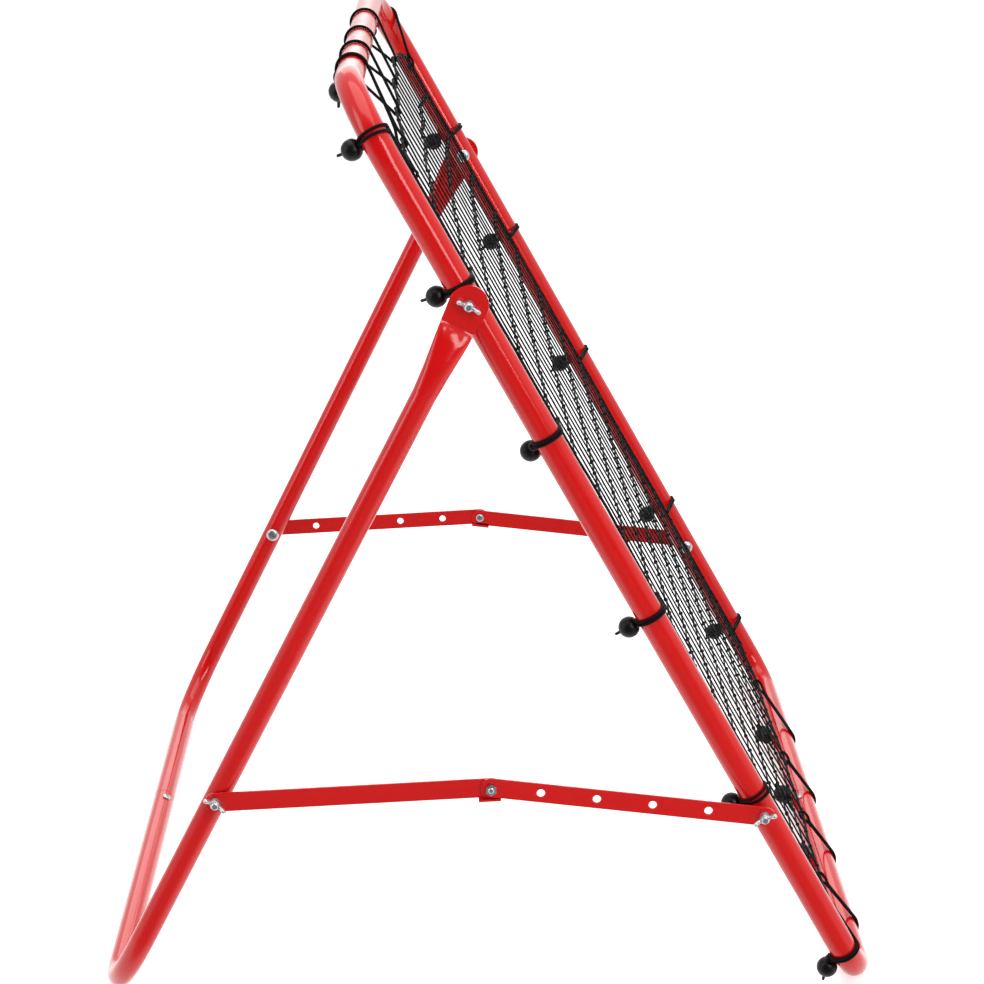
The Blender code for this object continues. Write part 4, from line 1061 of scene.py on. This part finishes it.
# %% [markdown]
# A small screw holds each slip joint of the tubes. Its head stands on the tube's inner side.

# %% Drive the joint screws


def joint_screw(name, place, outward, tube_r, body, node):
    """A pan head screw whose head stands on the tube, pointing outward."""
    head_face = -(tube_r + GAP)
    work = pan_head_bolt(head_face, 2.0 * MM, 3.9 * MM, 1.75 * MM, head_face + 7 * MM, head_face + 2 * MM)
    lay = Vector((-1, 0, 0)).rotation_difference(outward).to_matrix().to_4x4()
    moved(work, Matrix.Translation(place) @ lay)
    dress(name, finished(work, name, 35), zinc, body, "zinc", node)


up_frame = (on_frame(0, 1) - on_frame(0, 0)).normalized()
up_leg = (on_leg(0, 0) - on_leg(0, 1)).normalized()
joint_screw("bottom_joint_screw", on_frame(0, 0), up_frame, FRAME_R, "frame", "frame_bottom_screw")
joint_screw("top_joint_screw", on_frame(0, FRAME_LENGTH), -up_frame, FRAME_R, "frame", "frame_top_screw")
joint_screw("leg_joint_screw", on_leg(LEG_JOINT_X - 15 * MM, LEG_LENGTH), up_leg, LEG_R, "leg", "leg_screw")
print("joint screws: 3")

# %% [markdown]
# ## Net
#
# The net is knotted by machine: cords run up and across, and a knot sits at every crossing. That is a
# repeating thing, so Geometry Nodes lay it out: two sets of lines, each turned into a cord with a
# slight wobble, and one knot copied to every crossing.

# %% Describe the net's sizes
NET_HALF = HALF_WIDTH - 30 * MM
NET_LOW, NET_HIGH = 48 * MM, FRAME_LENGTH - 70 * MM
NET_COLUMNS, NET_ROWS = 19, 18
NET_CORD_R = 0.85 * MM
ROPE_R = 1.2 * MM
column_step = (2 * NET_HALF - 2 * ROPE_R) / NET_COLUMNS
row_step = (NET_HIGH - NET_LOW - 2 * ROPE_R) / NET_ROWS
print(f"net: {NET_COLUMNS} x {NET_ROWS} gaps of {column_step / MM:.1f} x {row_step / MM:.1f} mm")


# %% Helpers for Geometry Nodes


def geometry_tree(name, inputs):
    """A new Geometry Nodes tree with named inputs, each (name, type, value)."""
    tree = bpy.data.node_groups.new(name, "GeometryNodeTree")
    tree.interface.new_socket("Geometry", in_out="INPUT", socket_type="NodeSocketGeometry")
    for label, kind, value in inputs:
        socket = tree.interface.new_socket(label, in_out="INPUT", socket_type=kind)
        if value is not None:
            socket.default_value = value
    tree.interface.new_socket("Geometry", in_out="OUTPUT", socket_type="NodeSocketGeometry")
    return tree, tree.nodes.new("NodeGroupInput"), tree.nodes.new("NodeGroupOutput")


def run_tree(name, mesh, tree, values):
    """Runs a tree on a mesh with the given inputs, and returns the plain mesh that it makes."""
    holder = placed(name, mesh)
    step = holder.modifiers.new(name, "NODES")
    step.node_group = tree
    named = {item.name: item.identifier for item in tree.interface.items_tree if item.in_out == "INPUT"}
    for label, value in values.items():
        step[named[label]] = value
    result = plain_mesh(holder)
    bpy.data.objects.remove(holder, do_unlink=True)
    return result


def lines_mesh(name, lines):
    """Polylines as loose edges, for a tree to turn into cords."""
    verts, edges = [], []
    for line in lines:
        first = len(verts)
        verts += [tuple(place) for place in line]
        edges += [(first + i, first + i + 1) for i in range(len(line) - 1)]
    mesh = bpy.data.meshes.new(name)
    mesh.from_pydata(verts, edges, [])
    return mesh


def cord_tree():
    """Loose edges become round cords: a wobble moves the points, and a circle is swept along them."""
    inputs = [
        ("Radius", "NodeSocketFloat", 0.001),
        ("Wobble", "NodeSocketFloat", 0.0),
        ("Sides", "NodeSocketInt", 8),
        ("Seed", "NodeSocketInt", 7),
        ("Finish", "NodeSocketMaterial", None),
    ]
    tree, group, out = geometry_tree("lay_cords", inputs)
    given = group.outputs
    place = add(tree, "GeometryNodeInputPosition")
    noise = {"Vector": place, "Scale": 28, "W": given["Seed"]}
    noise = add(tree, "ShaderNodeTexNoise", noise, "Color", noise_dimensions="4D")
    centred = {0: noise, 1: (0.5, 0.5, 0.5)}
    centred = add(tree, "ShaderNodeVectorMath", centred, "Vector", operation="SUBTRACT")
    scaled = {0: centred, "Scale": given["Wobble"]}
    scaled = add(tree, "ShaderNodeVectorMath", scaled, "Vector", operation="SCALE")
    wavy = add(tree, "GeometryNodeSetPosition", {"Geometry": given["Geometry"], "Offset": scaled})
    curve = add(tree, "GeometryNodeMeshToCurve", {"Mesh": wavy})
    outline = {"Resolution": given["Sides"], "Radius": given["Radius"]}
    outline = add(tree, "GeometryNodeCurvePrimitiveCircle", outline, "Curve")
    swept = {"Curve": curve, "Profile Curve": outline, "Fill Caps": True}
    swept = add(tree, "GeometryNodeCurveToMesh", swept)
    real = add(tree, "GeometryNodeRealizeInstances", {"Geometry": swept})
    painted = add(tree, "GeometryNodeSetMaterial", {"Geometry": real, "Material": given["Finish"]})
    tree.links.new(painted, out.inputs["Geometry"])
    return tree


def knot_tree(knot):
    """One knot is copied to every point, each turned its own way."""
    inputs = [("Seed", "NodeSocketInt", 3), ("Finish", "NodeSocketMaterial", None)]
    tree, group, out = geometry_tree("tie_knots", inputs)
    given = group.outputs
    source = add(tree, "GeometryNodeObjectInfo", {"Object": knot}, "Geometry")
    ends = {"Min": (-0.5, -0.5, -0.5), "Max": (0.5, 0.5, 0.5), "Seed": given["Seed"]}
    turns = add(tree, "FunctionNodeRandomValue", ends, "Value", data_type="FLOAT_VECTOR")
    copies = {"Points": given["Geometry"], "Instance": source, "Rotation": turns}
    copies = add(tree, "GeometryNodeInstanceOnPoints", copies)
    real = add(tree, "GeometryNodeRealizeInstances", {"Geometry": copies})
    painted = add(tree, "GeometryNodeSetMaterial", {"Geometry": real, "Material": given["Finish"]})
    tree.links.new(painted, out.inputs["Geometry"])
    return tree


# %% [markdown]
# The cords between knots aren't quite straight: the elastic pulls the net's border into scallops
# between the loops, and the cords nearest the border follow it. So a helper says how far each crossing
# is drawn from its even place.

# %% Lace the net
NEAR_LOOPS = (40, 170, 308, 476, 652, 812)
FAR_LOOPS = (25, 158, 277, 425, 615, 767)
NET_RISE = FRAME_LENGTH - NET_HIGH
TOP_LOOPS = (121.5, 207.5, 313.5, 453.5)
BOTTOM_LOOPS = (96, 233, 368, 522)
TOP_TIES = (90, 198, 334, 479)
BOTTOM_TIES = (82, 231, 376, 576)
TOP_EDGE = ((30, 70), (90, 65), (198, 53), (334, 45.5), (479, 42), (600, 46), (675, 60))  # under the top tube
BOTTOM_EDGE = ((30, 60), (82, 57), (231, 47), (376, 46), (576, 45), (675, 50))  # over the bottom tube
NEAR_FRONT = ((0, 5.5), (0.2, 5.5), (0.5, 9.2), (1, 9.2))  # in front of the side tube's axis
FAR_FRONT = ((0, 1.0), (0.5, 2.2), (1, 1.8))
PULL_SPREAD = 60 * MM  # how far from a tie the border hangs in full
SIDE_PULL, EDGE_PULL = 5 * MM, 7 * MM
FINE = 4  # places in each gap along a cord


def border_pull(along, ties, deepest):
    """How far inward the border hangs between its ties, whose places are in millimetres."""
    nearest = min(abs(along - tie * MM) for tie in ties)
    return deepest * min(nearest / PULL_SPREAD, 1.0) ** 1.5


def net_point(column, row):
    """Where a crossing lies on the frame: across, up and in front."""
    column = NET_COLUMNS * (1 - (1 - column / NET_COLUMNS) ** 1.05)  # a little tighter towards the far side
    row = NET_ROWS * (row / NET_ROWS) ** 1.15  # and towards the bottom
    x = -NET_HALF + ROPE_R + column_step * column
    up = NET_LOW + ROPE_R + row_step * row
    from_top, across = FRAME_LENGTH - up, x + HALF_WIDTH
    share_x = (x + NET_HALF) / (2 * NET_HALF)
    share_up = (up - NET_LOW) / (NET_HIGH - NET_LOW)
    near = border_pull(from_top, NEAR_LOOPS, SIDE_PULL) * max(0, 1 - share_x * 6)
    far = border_pull(from_top, FAR_LOOPS, SIDE_PULL) * max(0, 1 - (1 - share_x) * 6)
    top = border_pull(across, TOP_TIES, EDGE_PULL) * max(0, 1 - (1 - share_up) * 6)
    low = border_pull(across, BOTTOM_TIES, EDGE_PULL) * max(0, 1 - share_up * 6)
    near_front, far_front = along_table(NEAR_FRONT, share_up), along_table(FAR_FRONT, share_up)
    front = (near_front + (far_front - near_front) * share_x) * MM
    front += 2.5 * MM * math.sin(math.pi * share_x) * (1 - share_up) ** 4
    lift = (NET_RISE - along_table(TOP_EDGE, across / MM) * MM) * share_up**3
    lift += (along_table(BOTTOM_EDGE, across / MM) * MM - NET_LOW) * (1 - share_up) ** 3
    return x + near - far, up - top + low + lift, front


def net_line(crossings):
    """A cord's path on the frame, through crossings given as (column, row)."""
    return [on_frame(*net_point(column, row)) for column, row in crossings]


up_steps = [i / FINE for i in range(NET_ROWS * FINE + 1)]
across_steps = [i / FINE for i in range(NET_COLUMNS * FINE + 1)]
columns = [net_line([(i, j) for j in up_steps]) for i in range(1, NET_COLUMNS)]
rows = [net_line([(j, i) for j in across_steps]) for i in range(1, NET_ROWS)]
border = [(j, 0) for j in across_steps]
border += [(NET_COLUMNS, j) for j in up_steps[1:]]
border += [(NET_COLUMNS - j, NET_ROWS) for j in across_steps[1:]]
border += [(0, NET_ROWS - j) for j in up_steps[1:]]
lay_cords = cord_tree()
pulled = run_tree(
    "net_columns",
    lines_mesh("net_lines_up", columns),
    lay_cords,
    {"Radius": NET_CORD_R, "Wobble": 1.6 * MM, "Sides": 6, "Seed": 11, "Finish": net_cord},
)
slack = run_tree(
    "net_rows",
    lines_mesh("net_lines_across", rows),
    lay_cords,
    {"Radius": NET_CORD_R * 0.75, "Wobble": 2.0 * MM, "Sides": 6, "Seed": 11, "Finish": net_cord},
)
rope = run_tree(
    "net_rope",
    lines_mesh("net_border", [net_line(border)]),
    lay_cords,
    {"Radius": ROPE_R, "Wobble": 1.2 * MM, "Sides": 10, "Seed": 5, "Finish": net_cord},
)

work = bmesh.new()
bmesh.ops.create_icosphere(work, subdivisions=2, radius=1.0)
lean = Matrix.Rotation(-FRAME_LEAN, 4, "X")
knot = solid(moved(work, lean @ Matrix.Diagonal((1.6 * MM, 1.8 * MM, 2.3 * MM, 1))), "knot")
points = net_line([(c, r) for c in range(NET_COLUMNS + 1) for r in range(NET_ROWS + 1)])
dots = bpy.data.meshes.new("crossings")
dots.from_pydata([tuple(p) for p in points], [], [])
knots = run_tree("net_knots", dots, knot_tree(knot), {"Seed": 9, "Finish": net_cord})
bpy.data.objects.remove(knot, do_unlink=True)

whole = bmesh.new()
for part in (pulled, slack, rope, knots):
    whole.from_mesh(part)
net_mesh = finished(whole, "knotted_net", 60)
dress("knotted_net", net_mesh, net_cord, "frame", "net_cord", "net")
print("knotted net:", len(points), "knots and", len(net_mesh.polygons), "faces")

# %% [markdown]
# ## Elastic loops
#
# Each loop is an elastic cord doubled through a moulded ball. It hooks round the net's border, passes
# in front of the tube and round its outer side, and the ball locks it behind. A soft cord lies where
# it is pulled: straight from the border to the tube, then round it. So its path is made of a straight
# run, an arc just above the paint, and a short run into the ball.

# %% Lay the elastic round the tubes
ELASTIC_R = 1.25 * MM
WRAP_R = FRAME_R + 0.1 * MM + ELASTIC_R
BALL_R = 8.6 * MM
STRAND_STEP = 2.8 * MM
TIE_STEP = 1.8 * MM  # from a tie to each strand
BEHIND_TURN = math.radians(190)  # where a strand leaves the tube for its ball


def cord_skin(points, radius, sides=12):
    """A round cord along points, with a UV map that runs along it and round it."""
    frames = path_frames(points)
    rings = [ring(p, f, radius, sides) for p, f in zip(points, frames, strict=True)]
    lengths = [0.0]
    for a, b in zip(points, points[1:]):
        lengths.append(lengths[-1] + (b - a).length)
    work = bmesh.new()
    layer = work.loops.layers.uv.new("along_cord")
    rows = [[work.verts.new(place) for place in row] for row in rings]
    for i in range(len(rows) - 1):
        for k in range(sides):
            n = (k + 1) % sides
            face = work.faces.new((rows[i][k], rows[i][n], rows[i + 1][n], rows[i + 1][k]))
            spots = ((i, k), (i, k + 1), (i + 1, k + 1), (i + 1, k))
            for loop, (u, v) in zip(face.loops, spots, strict=True):
                loop[layer].uv = (lengths[u], v / sides)
    work.faces.new(rows[0][::-1])
    work.faces.new(rows[-1])
    bmesh.ops.recalc_face_normals(work, faces=work.faces)
    return work


def arc_round(centre, out, along, start, end, offset_start, offset_end, steps=14):
    """An arc round a tube, from its front (turn 0) over its outer side (turn 90 degrees) to behind."""
    places = []
    for i in range(steps + 1):
        share = i / steps
        a = start + (end - start) * share
        across = Vector((0, 0, 1)) * math.cos(a) + out * math.sin(a)
        places.append(centre + across * WRAP_R + along * (offset_start + (offset_end - offset_start) * share))
    return places


def tangent_turn(centre, out, eye, way):
    """Where a straight strand from a place touches the arc: way 1 in front, -1 behind."""
    off = eye - centre
    flat = Vector((off.z, off.dot(out)))
    bearing = math.atan2(flat.y, flat.x)
    return bearing + way * math.acos(min(WRAP_R / flat.length, 1.0))


def spun_about_z(profile, sides=24):
    """Spins (height, radius) pairs in millimetres about Z."""
    rings = []
    for height, radius in profile:
        r = max(radius, 0.05)
        rings.append([Vector((r * math.cos(a), r * math.sin(a), height)) * MM for a in circle(sides)])
    return skin(rings)


def toggle_ball(place, pull):
    """The moulded ball: a round body, a collar where the cord enters, and a small nub behind."""
    ball = bmesh.new()
    bmesh.ops.create_uvsphere(ball, u_segments=32, v_segments=20, radius=BALL_R)
    shoulder = BALL_R * 0.78
    for vert in ball.verts:
        if vert.co.z > shoulder:
            vert.co.z = shoulder + (vert.co.z - shoulder) * 0.2
    collar = spun_about_z([(5.6, 4.4), (7.2, 4.2), (9.6, 3.6), (10.4, 3.0), (10.6, 0)])
    nub = spun_about_z([(-13.4, 0), (-13.2, 0.9), (-12.4, 1.25), (-9.2, 1.3), (-8.2, 2.0), (-7.4, 2.4)])
    lay = Matrix.Translation(place) @ Vector((0, 0, 1)).rotation_difference(pull).to_matrix().to_4x4()
    return [moved(part, lay) for part in (ball, collar, nub)]


def eased(points, rounds=2):
    """Softens a path's corners by cutting them, and keeps its ends."""
    for _ in range(rounds):
        soft = [points[0]]
        for a, b in zip(points, points[1:]):
            if (b - a).length > 5 * MM:
                soft += [a + (b - a) * 0.12, a + (b - a) * 0.88]
            else:
                soft += [a + (b - a) * 0.25, a + (b - a) * 0.75]
        points = soft + [points[-1]]
    return points


def elastic_loop(row, number, centre, out, tie, step, inboard, slid=0, in_front=True, apart=STRAND_STEP):
    """One elastic loop with its ball behind the tube. Places are across, up and front.

    The strands hook on a step to either side of the tie, and lie apart on the tube. The second one
    comes out under the tube where in_front is False. The ball sits inboard and slid down, in millimetres.
    """
    name = f"{row}_{number}"
    front = Vector((0, 0, 1))
    along = front.cross(out)
    behind = math.sqrt((FRAME_R + GAP + BALL_R) ** 2 - (inboard * MM) ** 2)
    ball = centre - Vector((0, slid * MM, behind)) - out * inboard * MM
    tie_a, tie_b = tie + step, tie - step
    hook = [tie_a + out * 2.4 * MM + front * 3.2 * MM, tie_a - out * 3.3 * MM + front * 2.2 * MM]
    hook += [tie_b - out * 3.3 * MM - front * 2.2 * MM, tie_b + out * 2.4 * MM - front * 3.2 * MM]
    begin = tangent_turn(centre, out, hook[0], 1)
    first = arc_round(centre, out, along, begin, BEHIND_TURN, apart / 2, STRAND_STEP / 2)
    if in_front:
        begin = tangent_turn(centre, out, hook[3], 1)
        second = arc_round(centre, out, along, begin, BEHIND_TURN, -apart / 2, -STRAND_STEP / 2)
        neck_a = tie_a.lerp(first[0], 0.2) + front * 0.6 * MM
        neck_b = tie_b.lerp(second[0], 0.2) - front * 0.6 * MM
        hook = [neck_a] + hook + [neck_b]
    else:
        back = tangent_turn(centre, out, hook[3], -1)
        second = arc_round(centre, out, along, back, back - math.radians(14), 0.0, 0.0, steps=3)
    path = [on_frame(*place) for place in eased([ball] + first[::-1] + hook + second + [ball])]
    cord = finished(cord_skin(path, ELASTIC_R), f"{name}_elastic", 60)
    dress(f"{name}_elastic", cord, elastic_sleeve, "frame", "elastic", f"{row}_loop_{number}")
    pull = (on_frame(*first[-1]) - on_frame(*ball)).normalized()
    moulded = joined_mesh(toggle_ball(on_frame(*ball), pull), f"{name}_ball", 40)
    dress(f"{name}_ball", moulded, black_plastic, "frame", "elastic")


# %% [markdown]
# The side loops sit at unequal steps, as the person who laced the net happened to space them. On the
# bends of the tube the outward direction turns with the tube.

# %% Tie the side loops


def side_centre(side, from_top):
    """The side tube's axis at a distance from the top, and its outward direction, bends included."""
    x, out = side * HALF_WIDTH, Vector((side, 0, 0))
    from_bottom = FRAME_LENGTH - from_top
    near_end = min(from_top, from_bottom)
    radius = FRAME_BEND if from_top < from_bottom else FRAME_FOOT_BEND
    if near_end < radius:
        turn = math.asin((radius - near_end) / radius)
        x -= side * radius * (1 - math.cos(turn))
        out = Vector((side * math.cos(turn), (1 if from_top < from_bottom else -1) * math.sin(turn), 0))
    return Vector((x, from_bottom, 0)), out


def border_tie(column, up):
    """The place on a side border of the net that lies nearest to a height."""
    rows = [net_point(column, i / 20) for i in range(4, NET_ROWS * 20 - 3)]
    return Vector(min(rows, key=lambda place: abs(place[1] - up)))


def edge_tie(row, across):
    """The place on the top or bottom border that lies nearest to a distance across."""
    columns = [net_point(i / 20, row) for i in range(4, NET_COLUMNS * 20 - 3)]
    return Vector(min(columns, key=lambda place: abs(place[0] + HALF_WIDTH - across)))


LOOSE_LOOPS = (("near", 1), ("near", 5))  # their strands lie further apart
BALL_SLIPS = {("near", 3): (6, 10), ("near", 4): (2, 4), ("near", 6): (10, 4)}  # down, and inboard
for name, side, loops in (("near", NEAR, NEAR_LOOPS), ("far", FAR, FAR_LOOPS)):
    for i, from_top in enumerate(loops, 1):
        centre, out = side_centre(side, from_top * MM)
        slid, inboard = BALL_SLIPS.get((name, i), (0, 4))
        tie = border_tie(0 if side == NEAR else NET_COLUMNS, FRAME_LENGTH - from_top * MM)
        apart = STRAND_STEP + (2.6 * MM if (name, i) in LOOSE_LOOPS else 0)
        elastic_loop(name, i, centre, out, tie, Vector((0, TIE_STEP, 0)), inboard, slid, apart=apart)
print("side loops:", len(NEAR_LOOPS), "near and", len(FAR_LOOPS), "far")

# %% [markdown]
# Most top loops open into a V: one strand runs down in front, and the other comes out under the tube.
# The first one runs to the net's corner with both strands in front.

# %% Tie the top and bottom loops
EDGES = (  # row, height, way out, how far inboard the balls sit, loops, ties, row of the net
    ("top", FRAME_LENGTH, 1, 10, TOP_LOOPS, TOP_TIES, NET_ROWS),
    ("bottom", 0, -1, 15.3, BOTTOM_LOOPS, BOTTOM_TIES, 0),
)
for row, height, way, inboard, loops, ties, net_row in EDGES:
    for i, (at, tie_at) in enumerate(zip(loops, ties, strict=True), 1):
        centre, out = Vector((at * MM - HALF_WIDTH, height, 0)), Vector((0, way, 0))
        tie, step = edge_tie(net_row, tie_at * MM), Vector((-TIE_STEP, 0, 0))
        elastic_loop(row, i, centre, out, tie, step, inboard, in_front=row == "bottom" or i == 1)
